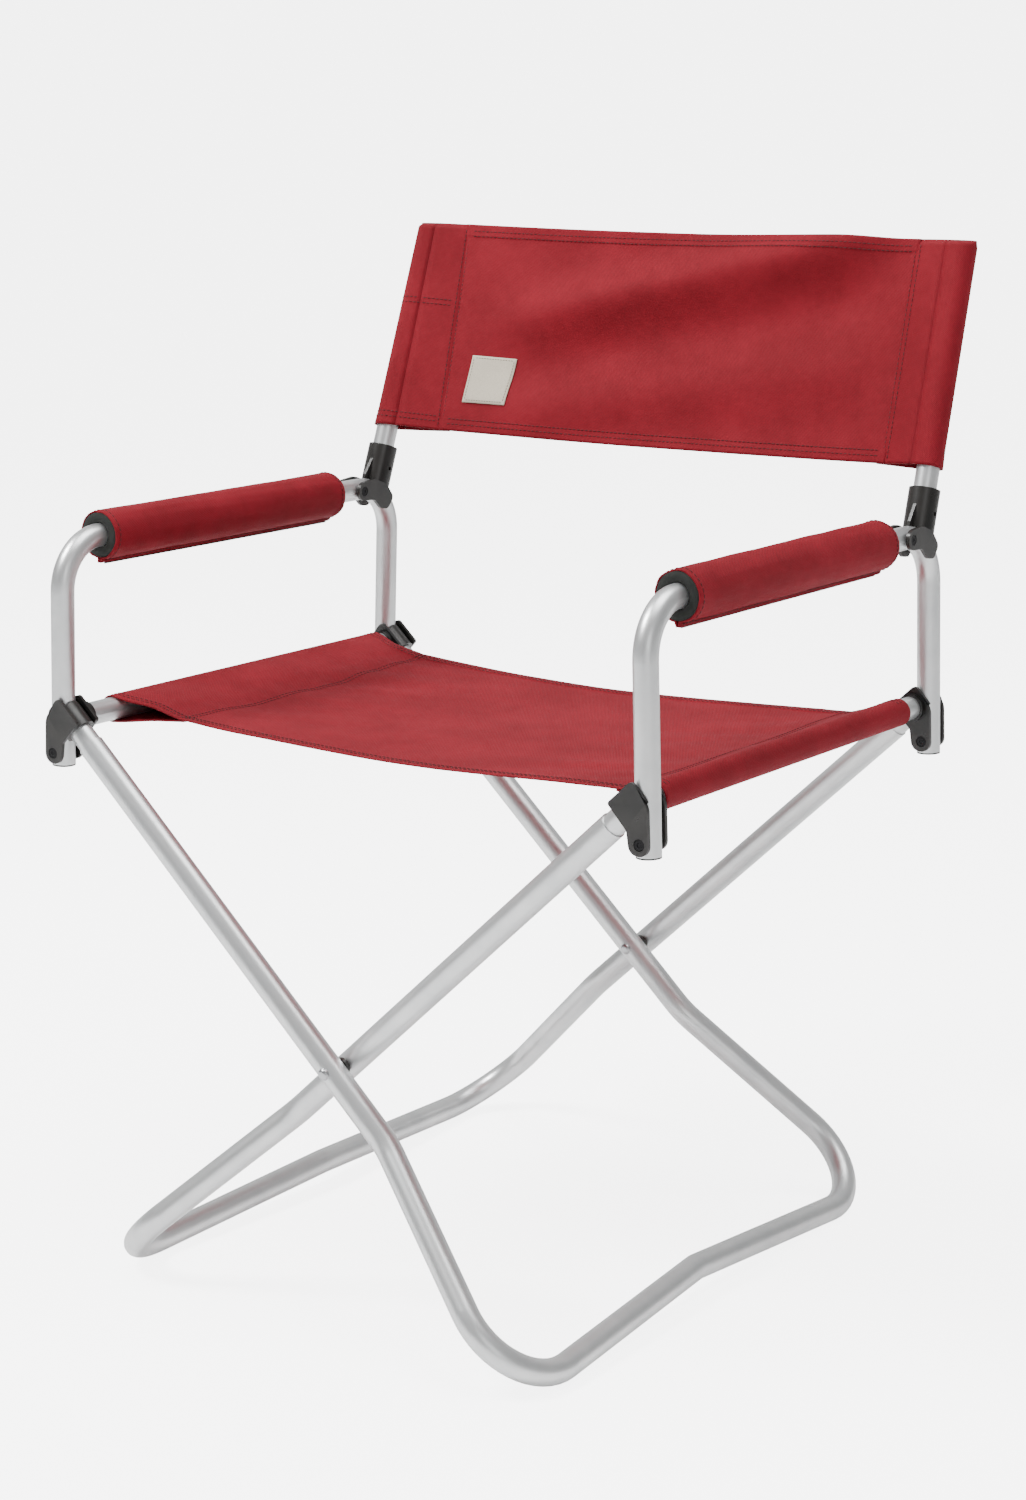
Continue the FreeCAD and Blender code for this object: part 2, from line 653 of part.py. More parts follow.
def makeTape(name, place):
    """Hook-and-loop tape between the two layers of the seam."""
    body = newBody(name, place)
    half = dim["tapeThickness"] / 2
    top = -dim["foamDiameter"] / 2 - dim["coverThickness"] * 2
    start = dim["padStart"] + 6
    section = newSketch(body, f"{name}_section", "Y", -start)
    foot = top - dim["tapeWidth"]
    addRectangle(section, -half, foot, half, top)
    pad(body, f"{name}_strip", section, dim["padEnd"] - dim["padTaper"] - 4 - start, reverse=True)
    return body


def makeHinge(name, place):
    """Moulded hinge: two cheeks beside the arm, a saddle on its bend and the post's socket."""
    body = newBody(name, place)
    boss = dim["bossRadius"]
    tight = boss * 0.97
    reach = dim["cheekReach"]
    drop = dim["cheekDrop"]
    outline = newSketch(body, f"{name}_side", "X")
    corners = [
        (-boss, -boss, tight),
        (-boss, boss, tight),
        (reach * 0.36, dim["cheekTop"], asSize(20)),
        (reach * 0.75, dim["cheekTop"] * 0.36, asSize(12)),
        (reach, -drop * 0.49, asSize(5)),
        (reach * 0.8, -drop, asSize(5)),
        (reach * 0.58, -drop * 0.95, asSize(6)),
        (reach * 0.34, -drop * 0.46, asSize(8)),
    ]
    addOutline(outline, corners, closed=True)
    pad(body, f"{name}_cheeks", outline, cheekOutside * 2, both=True)
    lean = Vector(0, sine(dim["backLean"]).value, cosine(dim["backLean"]).value)
    foot = alongPost(dim["socketFloor"] - 4.5, postOffset)
    socketLength = dim["socketTop"] - dim["socketFloor"] + 4.5
    addRod(body, f"{name}_socket", dim["socketDiameter"] / 2, socketLength, (0, *foot), lean)
    ribFront = armRadius + dim["armSlot"] * 2
    socketFront = postOffset - dim["socketDiameter"] / 2
    rib = newSketch(body, f"{name}_rib", "X")
    corners = [
        (*alongPost(dim["socketFloor"] - 8, ribFront), None),
        (*alongPost(dim["socketFloor"] - 8, socketFront + 3), None),
        (*alongPost(dim["socketFloor"] * 2, socketFront + 3), None),
        (*alongPost(dim["socketFloor"] * 2, socketFront + 0.3), None),
        (*alongPost(dim["socketFloor"] + 0.5, ribFront), None),
    ]
    addOutline(rib, corners, closed=True)
    pad(body, f"{name}_rib_pad", rib, dim["ribThickness"], both=True)
    slot = newSketch(body, f"{name}_slot", "X")
    corners = [
        (*alongPost(-armSpan, ribFront - 0.3), None),
        (*alongPost(armSpan, ribFront - 0.3), None),
        (*alongPost(armSpan, -armSpan), None),
        (*alongPost(-armSpan, -armSpan), None),
    ]
    addOutline(slot, corners, closed=True)
    cut(body, f"{name}_arm_slot", slot, cheekInside * 2)
    bend = newSketch(body, f"{name}_bend", "X")
    bendAhead = dim["pivotFromPost"] - dim["armBend"]
    addCircle(bend, dim["armBend"] + armRadius + dim["cheekGap"], bendAhead, -dim["armBend"])
    cut(body, f"{name}_saddle", bend, cheekInside * 2)
    foot = alongPost(dim["socketFloor"], postOffset)
    addRod(
        body, f"{name}_bore", postRadius + dim["runningFit"], dim["socketTop"],
        (0, *foot), lean, cutting=True,
    )
    hole = newSketch(body, f"{name}_bolt_hole", "X")
    addCircle(hole, dim["boltDiameter"] / 2 + dim["runningFit"])
    cut(body, f"{name}_bolt_holes", hole, cheekOutside * 2 + 4)
    for face, sign in (("left", -1), ("right", 1)):
        recess = newSketch(body, f"{name}_{face}_recess", "X", cheekOutside * sign)
        addCircle(recess, dim["boltHead"] / 2 + 0.2)
        cut(body, f"{name}_{face}_recess_cut", recess, dim["boltSink"] * 2)
    rivet = newSketch(body, f"{name}_rivet_hole", "X")
    addCircle(rivet, dim["socketRivetDiameter"] / 2, *alongPost(dim["socketRivetAt"], postOffset))
    cut(body, f"{name}_rivet_holes", rivet, dim["socketDiameter"] * 2)
    return body


def makePost(name, place):
    """Straight tube of the back, up from the floor of its socket. Its origin is the tube's foot."""
    body = newBody(name, place)
    section = newSketch(body, f"{name}_section", "Z")
    addCircle(section, postRadius)
    addCircle(section, postRadius - dim["postWall"])
    pad(body, f"{name}_tube", section, dim["postTop"] - dim["socketFloor"])
    hole = newSketch(body, f"{name}_rivet_hole", "X")
    addCircle(hole, dim["socketRivetDiameter"] / 2, 0.0, dim["socketRivetAt"] - dim["socketFloor"])
    cut(body, f"{name}_rivet_holes", hole, dim["postDiameter"] * 2)
    return body


def makeSocketRivet(name, place):
    body = newBody(name, place)
    shank = dim["socketRivetDiameter"] / 2
    end = dim["socketDiameter"] / 2 + 0.9
    profile = newSketch(body, f"{name}_half", "X")
    half = [(shank, end - 1.1), (shank * 1.7, end - 1.1), (shank * 1.7, end - 0.4), (shank, end)]
    corners = [(0, -end)] + [(out, -along) for out, along in reversed(half)] + half + [(0, end)]
    addOutline(profile, [(x, y, None) for x, y in corners], closed=True)
    turn(body, f"{name}_turned", profile, "V_Axis")
    return body


def makeSeat(name):
    """Seat sling: a sleeve round each rail and a sagging panel between them."""
    body = newBody(name, Placement(Vector(0, 0, dim["railHeight"].value), Rotation()))
    outside = sleeveInside + dim["slingThickness"]
    sides = (-dim["railHalfWidth"], dim["railHalfWidth"])
    length = (dim["halfDepth"] - frameStagger / 2 - railStart - dim["seatInset"]) * 2
    panel = newSketch(body, f"{name}_panel", "Y")
    reach = dim["railHalfWidth"]
    low = outside - dim["seatSag"]
    under = dim["slingThickness"]
    inset = reach * 0.45
    corners = [
        (-reach, outside, None),
        (-inset, low, reach),
        (inset, low, reach),
        (reach, outside, None),
        (reach, outside - under, None),
        (inset, low - under, reach),
        (-inset, low - under, reach),
        (-reach, outside - under, None),
    ]
    addOutline(panel, corners, closed=True)
    pad(body, f"{name}_panel_pad", panel, length, both=True)
    sleeves = newSketch(body, f"{name}_sleeves", "Y")
    for x in sides:
        addCircle(sleeves, outside, x, 0.0)
    pad(body, f"{name}_sleeve_pads", sleeves, length, both=True)
    bores = newSketch(body, f"{name}_bores", "Y")
    for x in sides:
        addCircle(bores, sleeveInside, x, 0.0)
    cut(body, f"{name}_sleeve_bores", bores, length + 10)
    return body


def makeBackSling(name, feet, lean):
    """Back sling: a sleeve along each leaning post and a panel between the two post axes."""
    low = dim["slingFoot"].value - dim["socketFloor"].value
    high = low + dim["slingHeight"].value
    outside = backSleeveInside.value + dim["slingThickness"].value
    half = dim["slingThickness"].value / 2
    up = Vector(0, 0, 1)
    tubes = []
    bores = []
    rims = []
    for foot in feet:
        along = foot.Rotation.multVec(up)
        start = foot.multVec(up * low)
        tubes.append(Part.makeCylinder(outside, high - low, start, along))
        bores.append(Part.makeCylinder(backSleeveInside.value, high - low + 20, start - along * 10, along))
        rims.append((start, foot.multVec(up * high)))
    normal = Vector(0, cosine(lean).value, -sine(lean).value)
    (leftFoot, leftTop), (rightFoot, rightTop) = rims
    wires = []
    for left, right in ((leftFoot, rightFoot), (leftTop, rightTop)):
        strip = [left - normal * half, right - normal * half, right + normal * half, left + normal * half]
        wires.append(Part.makePolygon(strip + strip[:1]))
    panel = Part.makeLoft(wires, True, True)
    shape = panel.fuse(tubes)
    for bore in bores:
        shape = shape.cut(bore)
    shape = shape.Solids[0]
    feature = document.addObject("Part::Feature", name)
    feature.Label = name
    feature.Shape = shape
    return feature


def makeLabel(name, feet, lean):
    """Sewn label on the front of the back sling, near the left post."""
    body = document.addObject("Part::Box", name)
    body.Label = name
    bind(body, "Length", dim["labelWidth"])
    bind(body, "Width", dim["labelThickness"])
    bind(body, "Height", dim["labelSide"])
    up = dim["slingFoot"] - dim["socketFloor"] + dim["labelFromFoot"]
    leftFoot = feet[0].multVec(Vector(0, 0, up.value))
    across = feet[1].multVec(Vector(0, 0, up.value)) - leftFoot
    across.normalize()
    stand = Rotation(across, Vector(0, 0, 0), Vector(0, sine(lean).value, cosine(lean).value), "XZY")
    corner = leftFoot + across * dim["labelFromSide"].value
    away = dim["slingThickness"] / 2 + dim["labelThickness"] + 0.15
    corner = corner - stand.multVec(Vector(0, 1, 0)) * away.value
    body.Placement = Placement(corner, stand)
    return body


# Where the rigid groups stand in the open chair.
sideSign = {"left": -1, "right": 1}
endSign = {"front": -1, "rear": 1}
staggerOf = {"left": -frameStagger.value / 2, "right": frameStagger.value / 2}
railHeight = dim["railHeight"].value
halfDepth = dim["halfDepth"].value
turnedRound = Rotation(Vector(0, 0, 1), 180)
legTilt = Rotation(Vector(0, 1, 0), legSlope.value)
framePlace = {
    "left": Placement(Vector(0, staggerOf["left"], dim["crossingHeight"].value), legTilt),
    "right": Placement(Vector(0, staggerOf["right"], dim["crossingHeight"].value), turnedRound * legTilt),
}
leaning = Rotation(Vector(1, 0, 0), -dim["backLean"].value)
socketUp = dim["socketFloor"]
postFoot = Vector(0, *[size.value for size in alongPost(socketUp, postOffset)])
rivetSpot = Vector(0, *[size.value for size in alongPost(dim["socketRivetAt"], postOffset)])

pieces = []
backFeet = []
pieces.append(makeLegFrame("leg_frame_a", framePlace["left"]))
pieces.append(makeLegFrame("leg_frame_b", framePlace["right"]))
for end, sign in endSign.items():
    spot = framePlace["left"] * Placement(Vector(0, sign * halfDepth, 0), Rotation())
    pieces.append(makeCrossRivet(f"crossing_rivet_{end}", spot))
    pieces.append(makeWasher(f"crossing_washer_{end}", spot))
for side, sign in sideSign.items():
    middle = Vector(sign * dim["railHalfWidth"].value, staggerOf[side], railHeight)
    pieces.append(makeRail(f"seat_rail_{side}", Placement(middle, Rotation())))
    foot = middle + Vector(sign * pinOut.value, -halfDepth, -dim["pinDown"].value)
    armPlace = Placement(foot, Rotation(Vector(0, 1, 0), -sign * dim["armLean"].value))
    for end, way in endSign.items():
        flip = Rotation() if side == "right" else turnedRound
        corner = Placement(middle + Vector(0, way * halfDepth, 0), flip)
        pieces.append(makeBracket(f"corner_bracket_{end}_{side}", corner, -way * sign))
        legSide = way if side == "left" else -way
        spot = framePlace[side] * Placement(Vector(0, legSide * halfDepth, 0), Rotation())
        pieces.append(makeNeck(f"leg_neck_{end}_{side}", spot))
        spot = Placement(foot + Vector(0, halfDepth * (1 + way), 0), Rotation())
        pinSizes = (earOutside, dim["armPinDiameter"] / 2, dim["armPinHead"] / 2, dim["armPinSink"])
        pieces.append(makePin(f"arm_pin_{end}_{side}", spot, "Y", *pinSizes))
        reach = halfDepth * (1 + way)
        spot = armPlace * Placement(Vector(0, reach, -dim["armDrop"].value), Rotation())
        plugSizes = (armRadius, dim["armWall"], dim["plugRim"], dim["plugDepth"])
        pieces.append(makePlug(f"arm_plug_{end}_{side}", spot, *plugSizes, upward=False))
    pieces.append(makeArm(f"arm_frame_{side}", armPlace))
    axis = armPlace * Placement(Vector(0, 0, dim["armRise"].value), Rotation())
    pieces.append(makeFoam(f"arm_foam_{side}", axis))
    pieces.append(makeCover(f"arm_cover_{side}", axis))
    pieces.append(makeTape(f"arm_cover_tape_{side}", axis))
    pivot = armPlace * Placement(Vector(0, pivotBack.value, dim["armRise"].value), Rotation())
    pieces.append(makeHinge(f"back_hinge_{side}", pivot))
    pinSizes = (cheekOutside, dim["boltDiameter"] / 2, dim["boltHead"] / 2, dim["boltSink"])
    pieces.append(makePin(f"hinge_bolt_{side}", pivot, "X", *pinSizes))
    foot = pivot * Placement(postFoot, leaning)
    backFeet.append(foot)
    pieces.append(makePost(f"back_post_{side}", foot))
    top = foot * Placement(Vector(0, 0, (dim["postTop"] - socketUp).value), Rotation())
    capSizes = (postRadius, dim["postWall"], dim["capHeight"], dim["plugDepth"])
    pieces.append(makePlug(f"post_cap_{side}", top, *capSizes, upward=True))
    spot = pivot * Placement(rivetSpot, Rotation(Vector(0, 0, 1), -90))
    pieces.append(makeSocketRivet(f"socket_rivet_{side}", spot))
pieces.append(makeSeat("seat_sling"))
pieces.append(makeBackSling("back_sling", backFeet, dim["backLean"]))
pieces.append(makeLabel("back_label", backFeet, dim["backLean"]))
document.recompute()

for item in document.Objects:
    if "Invalid" in item.State or "Error" in item.State:
        raise ValueError(f"{item.Label}: {item.State}")
for piece in pieces:
    if piece.Shape.isNull() or not piece.Shape.isValid() or not piece.Shape.Solids:
        raise ValueError(f"{piece.Label}: the shape is not a valid solid")

os.makedirs("parts", exist_ok=True)
for piece in pieces:
    piece.Shape.exportStep(f"parts/{piece.Label}.step")
    box = piece.Shape.BoundBox
    print(
        f"{piece.Label}: {piece.Shape.Volume:.0f} mm3, x {box.XMin:.1f} {box.XMax:.1f},",
        f"y {box.YMin:.1f} {box.YMax:.1f}, z {box.ZMin:.2f} {box.ZMax:.1f}",
    )
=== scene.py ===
import json
import math

import bmesh
import bpy
from mathutils import Matrix, Vector, noise


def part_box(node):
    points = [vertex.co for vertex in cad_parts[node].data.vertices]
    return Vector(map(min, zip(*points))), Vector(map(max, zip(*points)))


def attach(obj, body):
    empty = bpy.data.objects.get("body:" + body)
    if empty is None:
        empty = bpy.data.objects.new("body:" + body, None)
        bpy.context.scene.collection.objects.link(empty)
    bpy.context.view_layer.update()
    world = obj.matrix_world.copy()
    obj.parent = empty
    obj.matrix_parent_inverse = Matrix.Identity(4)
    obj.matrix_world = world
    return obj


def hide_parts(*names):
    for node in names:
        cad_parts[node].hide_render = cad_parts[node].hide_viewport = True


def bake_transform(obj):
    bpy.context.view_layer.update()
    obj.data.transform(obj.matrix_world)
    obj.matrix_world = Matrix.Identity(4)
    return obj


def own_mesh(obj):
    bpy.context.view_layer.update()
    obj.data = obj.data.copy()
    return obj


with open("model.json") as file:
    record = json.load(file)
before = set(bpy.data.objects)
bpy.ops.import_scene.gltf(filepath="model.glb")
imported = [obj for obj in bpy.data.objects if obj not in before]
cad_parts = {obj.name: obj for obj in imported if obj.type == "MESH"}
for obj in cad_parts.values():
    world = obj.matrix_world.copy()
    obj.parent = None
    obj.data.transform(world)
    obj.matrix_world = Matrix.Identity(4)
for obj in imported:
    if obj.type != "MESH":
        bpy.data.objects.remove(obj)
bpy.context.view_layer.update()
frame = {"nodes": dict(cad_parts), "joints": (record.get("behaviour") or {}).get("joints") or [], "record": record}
joints = {joint["name"]: joint for joint in frame["joints"]}
print("frame loaded")


# An sRGB hex colour as the linear values a shader takes.
def linear(hexColour):
    channels = []
    for start in (0, 2, 4):
        value = int(hexColour[start:start + 2], 16) / 255
        channels.append(value / 12.92 if value <= 0.04045 else ((value + 0.055) / 1.055) ** 2.4)
    return (*channels, 1.0)


# Adds a node with its settings and links and gives one output, or all of them for out=None.
def addNode(tree, kind, settings=None, links=None, out=0):
    node = tree.nodes.new(kind)
    for name, value in (settings or {}).items():
        if isinstance(name, int) or name in node.inputs:
            node.inputs[name].default_value = value
        else:
            setattr(node, name, value)
    for name, socket in (links or {}).items():
        tree.links.new(socket, node.inputs[name])
    return node.outputs if out is None else node.outputs[out]


def newMaterial(name):
    material = bpy.data.materials.new(name)
    material.use_nodes = True
    tree = material.node_tree
    return material, tree, tree.nodes["Principled BSDF"]


# Wave numbers and noise scales per metre, from a real size in millimetres.
def perMetre(sizeMm):
    return 1000.0 / sizeMm


# Polyester twill canvas, piece-dyed: matt, with fine slanting ribs, painted shade in the valleys between them and
# a little uneven dye.
# Its real ribs are about 0.7 mm apart, too fine to show, so they are drawn twice as coarse.
canvasLook = {
    # shade is the colour of the painted shade laid into the weave's valleys; body and bright are the uneven dye.
    "shade": "43070F", "body": "7E101D", "bright": "901826",
    "twillPitch": 1.35, "yarnPitch": 0.68, "twillSlope": 0.62, "yarnShare": 0.35,
    "fuzzMm": 0.9, "slubMm": 9.0, "tintMm": 55.0, "reliefMm": 0.22,
    "sheen": 0.05, "sheenRough": 0.45, "sheenTint": "D8606A", "specular": 0.18,
}


def makeCanvas(name, look):
    material, tree, shader = newMaterial(name)
    place = addNode(tree, "ShaderNodeTexCoord", out=None)
    cloth = addNode(tree, "ShaderNodeSeparateXYZ", links={"Vector": place["UV"]}, out=None)
    slant = addNode(
        tree, "ShaderNodeMath", {"operation": "MULTIPLY_ADD", 1: look["twillSlope"]},
        {0: cloth["Y"], 2: cloth["X"]}
    )
    waves = []
    for line, pitch in ((slant, look["twillPitch"]), (cloth["Y"], look["yarnPitch"])):
        turned = addNode(
            tree, "ShaderNodeMath", {"operation": "MULTIPLY", 1: 2 * math.pi * perMetre(pitch)}, {0: line}
        )
        waves.append(addNode(tree, "ShaderNodeMath", {"operation": "SINE"}, {0: turned}))
    weave = addNode(
        tree, "ShaderNodeMath", {"operation": "MULTIPLY_ADD", 1: look["yarnShare"]},
        {0: waves[1], 2: waves[0]}
    )
    spots = {}
    for spot, detail, roughness in (("fuzzMm", 3.0, 0.7), ("slubMm", 4.0, 0.65), ("tintMm", 2.0, 0.5)):
        settings = {"Scale": perMetre(look[spot]), "Detail": detail, "Roughness": roughness}
        spots[spot] = addNode(tree, "ShaderNodeTexNoise", settings, {"Vector": place["Object"]})
    relief = addNode(
        tree, "ShaderNodeMath", {"operation": "MULTIPLY_ADD", 1: 0.35}, {0: weave, 2: spots["fuzzMm"]}
    )
    wide = addNode(tree, "ShaderNodeMath", {"operation": "MULTIPLY", 1: 0.65}, {0: spots["tintMm"]})
    tint = addNode(
        tree, "ShaderNodeMath", {"operation": "MULTIPLY_ADD", 1: 0.35}, {0: spots["slubMm"], 2: wide}
    )
    dye = addNode(tree, "ShaderNodeMapRange", {"From Min": 0.38, "From Max": 0.66}, {"Value": tint})
    # Painted shade: the low parts of the weave are mixed towards the shade colour.
    shadedValleys = addNode(
        tree, "ShaderNodeMapRange", {"From Min": -1.3, "From Max": 0.5, "To Min": 0.62, "To Max": 0.0},
        {"Value": weave}
    )
    ground = addNode(
        tree, "ShaderNodeMix", {"data_type": "RGBA", 6: linear(look["body"]), 7: linear(look["bright"])},
        {"Factor": dye}, out=2,
    )
    colour = addNode(
        tree, "ShaderNodeMix", {"data_type": "RGBA", 7: linear(look["shade"])},
        {"Factor": shadedValleys, 6: ground}, out=2
    )
    nap = addNode(
        tree, "ShaderNodeMapRange", {"From Min": 0.3, "From Max": 0.7, "To Min": 0.62, "To Max": 0.82},
        {"Value": spots["fuzzMm"]},
    )
    bump = addNode(
        tree, "ShaderNodeBump", {"Strength": 0.9, "Distance": look["reliefMm"] / 1000}, {"Height": relief}
    )
    tree.links.new(colour, shader.inputs["Base Color"])
    tree.links.new(nap, shader.inputs["Roughness"])
    tree.links.new(bump, shader.inputs["Normal"])
    shader.inputs["Sheen Weight"].default_value = look["sheen"]
    shader.inputs["Sheen Roughness"].default_value = look["sheenRough"]
    shader.inputs["Sheen Tint"].default_value = linear(look["sheenTint"])
    shader.inputs["Specular IOR Level"].default_value = look["specular"]
    return material


# Satin anodised aluminium, drawn and bead-blasted: a soft silver with a fine grain and wide highlights.
tubeLook = {
    "base": "E2E3E3", "dull": "D6D8D9", "grainMm": 0.5, "cloudMm": 30.0, "metallic": 0.92, "bumpMm": 0.012,
}


def makeAnodised(name, look):
    material, tree, shader = newMaterial(name)
    place = addNode(tree, "ShaderNodeTexCoord", out="Object")
    grain = addNode(
        tree, "ShaderNodeTexNoise", {"Scale": perMetre(look["grainMm"]), "Detail": 4.0, "Roughness": 0.7},
        {"Vector": place},
    )
    clouds = addNode(
        tree, "ShaderNodeTexNoise", {"Scale": perMetre(look["cloudMm"]), "Detail": 3.0, "Roughness": 0.6},
        {"Vector": place},
    )
    share = addNode(tree, "ShaderNodeMapRange", {"From Min": 0.35, "From Max": 0.7}, {"Value": clouds})
    colour = addNode(
        tree, "ShaderNodeMix", {"data_type": "RGBA", 6: linear(look["base"]), 7: linear(look["dull"])},
        {"Factor": share}, out=2,
    )
    satin = addNode(tree, "ShaderNodeMath", {"operation": "MULTIPLY_ADD", 1: 0.12, 2: 0.26}, {0: clouds})
    rough = addNode(tree, "ShaderNodeMath", {"operation": "MULTIPLY_ADD", 1: 0.10}, {0: grain, 2: satin})
    bump = addNode(
        tree, "ShaderNodeBump", {"Strength": 0.6, "Distance": look["bumpMm"] / 1000}, {"Height": grain}
    )
    tree.links.new(colour, shader.inputs["Base Color"])
    tree.links.new(rough, shader.inputs["Roughness"])
    tree.links.new(bump, shader.inputs["Normal"])
    shader.inputs["Metallic"].default_value = look["metallic"]
    return material


# Glass-filled nylon, injection moulded: near black and half glossy, with a painted highlight that makes its edges
# a little paler.
plasticLook = {"base": "141312", "edgeHighlight": "22201E", "grainMm": 0.45, "cloudMm": 11.0, "bumpMm": 0.04}


def makePlastic(name, look):
    material, tree, shader = newMaterial(name)
    place = addNode(tree, "ShaderNodeTexCoord", out="Object")
    grain = addNode(
        tree, "ShaderNodeTexNoise", {"Scale": perMetre(look["grainMm"]), "Detail": 3.0, "Roughness": 0.6},
        {"Vector": place},
    )
    clouds = addNode(
        tree, "ShaderNodeTexNoise", {"Scale": perMetre(look["cloudMm"]), "Detail": 4.0, "Roughness": 0.6},
        {"Vector": place},
    )
    edges = addNode(tree, "ShaderNodeNewGeometry", out="Pointiness")
    # Painted highlight: convex edges, found by pointiness, are mixed towards a paler colour.
    edgeHighlightMask = addNode(tree, "ShaderNodeMapRange", {"From Min": 0.52, "From Max": 0.60}, {"Value": edges})
    colour = addNode(
        tree, "ShaderNodeMix", {"data_type": "RGBA", 6: linear(look["base"]), 7: linear(look["edgeHighlight"])},
        {"Factor": edgeHighlightMask}, out=2,
    )
    rough = addNode(
        tree, "ShaderNodeMapRange", {"From Min": 0.3, "From Max": 0.7, "To Min": 0.27, "To Max": 0.40},
        {"Value": clouds},
    )
    bump = addNode(
        tree, "ShaderNodeBump", {"Strength": 0.5, "Distance": look["bumpMm"] / 1000}, {"Height": grain}
    )
    tree.links.new(colour, shader.inputs["Base Color"])
    tree.links.new(rough, shader.inputs["Roughness"])
    tree.links.new(bump, shader.inputs["Normal"])
    return material


# Cold-headed steel: bright on the rivets, blackened on the pins and bolts, with a fine tumbled grain.
def makeSteel(name, colourHex, roughness):
    material, tree, shader = newMaterial(name)
    place = addNode(tree, "ShaderNodeTexCoord", out="Object")
    grain = addNode(
        tree, "ShaderNodeTexNoise", {"Scale": perMetre(0.7), "Detail": 4.0, "Roughness": 0.7},
        {"Vector": place}
    )
    rough = addNode(
        tree, "ShaderNodeMapRange",
        {"From Min": 0.3, "From Max": 0.7, "To Min": roughness - 0.06, "To Max": roughness + 0.1},
        {"Value": grain},
    )
    bump = addNode(tree, "ShaderNodeBump", {"Strength": 0.5, "Distance": 0.00002}, {"Height": grain})
    tree.links.new(rough, shader.inputs["Roughness"])
    tree.links.new(bump, shader.inputs["Normal"])
    shader.inputs["Base Color"].default_value = linear(colourHex)
    shader.inputs["Metallic"].default_value = 1.0
    return material


# Closed-cell EVA foam, cut: dull black with open cells about 0.8 mm wide on the cut faces.
def makeFoamLook(name):
    material, tree, shader = newMaterial(name)
    place = addNode(tree, "ShaderNodeTexCoord", out="Object")
    cells = addNode(
        tree, "ShaderNodeTexVoronoi", {"Scale": perMetre(0.8), "feature": "DISTANCE_TO_EDGE"},
        {"Vector": place},
        out="Distance",
    )
    clouds = addNode(
        tree, "ShaderNodeTexNoise", {"Scale": perMetre(6.0), "Detail": 3.0, "Roughness": 0.6},
        {"Vector": place}
    )
    colour = addNode(
        tree, "ShaderNodeMix", {"data_type": "RGBA", 6: linear("141614"), 7: linear("232622")},
        {"Factor": clouds}, out=2,
    )
    rough = addNode(
        tree, "ShaderNodeMapRange", {"From Min": 0.0, "From Max": 0.4, "To Min": 0.82, "To Max": 0.95},
        {"Value": cells},
    )
    bump = addNode(tree, "ShaderNodeBump", {"Strength": 0.8, "Distance": 0.0004}, {"Height": cells})
    tree.links.new(colour, shader.inputs["Base Color"])
    tree.links.new(bump, shader.inputs["Normal"])
    tree.links.new(rough, shader.inputs["Roughness"])
    return material


# Spun polyester thread and tape, twisted: a soft fibre that catches little light.
def makeThread(name, colourHex):
    material, tree, shader = newMaterial(name)
    place = addNode(tree, "ShaderNodeTexCoord", out="Object")
    fibre = addNode(
        tree, "ShaderNodeTexNoise", {"Scale": perMetre(0.25), "Detail": 2.0, "Roughness": 0.6},
        {"Vector": place}
    )
    base = linear(colourHex)
    darker = tuple(channel * 0.55 for channel in base[:3]) + (1.0,)
    colour = addNode(
        tree, "ShaderNodeMix", {"data_type": "RGBA", 6: darker, 7: base}, {"Factor": fibre}, out=2
    )
    bump = addNode(tree, "ShaderNodeBump", {"Strength": 0.7, "Distance": 0.00008}, {"Height": fibre})
    tree.links.new(colour, shader.inputs["Base Color"])
    tree.links.new(bump, shader.inputs["Normal"])
    shader.inputs["Roughness"].default_value = 0.7
    return material


# Undyed cotton, plain woven: cream, matt, with warp and weft 0.9 mm apart, coarser than the real ones.
def makeLabelLook(name):
    material, tree, shader = newMaterial(name)
    place = addNode(tree, "ShaderNodeTexCoord", out=None)
    cloth = addNode(tree, "ShaderNodeSeparateXYZ", links={"Vector": place["UV"]}, out=None)
    waves = []
    for axis in ("X", "Y"):
        turned = addNode(
            tree, "ShaderNodeMath", {"operation": "MULTIPLY", 1: 2 * math.pi * perMetre(0.9)},
            {0: cloth[axis]}
        )
        waves.append(addNode(tree, "ShaderNodeMath", {"operation": "SINE"}, {0: turned}))
    weave = addNode(tree, "ShaderNodeMath", {"operation": "MULTIPLY"}, {0: waves[0], 1: waves[1]})
    fuzz = addNode(
        tree, "ShaderNodeTexNoise", {"Scale": perMetre(1.4), "Detail": 3.0, "Roughness": 0.7},
        {"Vector": place["Object"]},
    )
    relief = addNode(tree, "ShaderNodeMath", {"operation": "MULTIPLY_ADD", 1: 0.4}, {0: weave, 2: fuzz})
    # Painted shade: the colour follows the weave's height, darker where it lies low, with random fibre tone from
    # the fuzz mixed in.
    share = addNode(tree, "ShaderNodeMapRange", links={"Value": relief})
    colour = addNode(
        tree, "ShaderNodeMix", {"data_type": "RGBA", 6: linear("B9B09A"), 7: linear("DED7C6")},
        {"Factor": share}, out=2,
    )
    bump = addNode(tree, "ShaderNodeBump", {"Strength": 0.8, "Distance": 0.00025}, {"Height": relief})
    tree.links.new(colour, shader.inputs["Base Color"])
    tree.links.new(bump, shader.inputs["Normal"])
    shader.inputs["Roughness"].default_value = 0.85
    return material


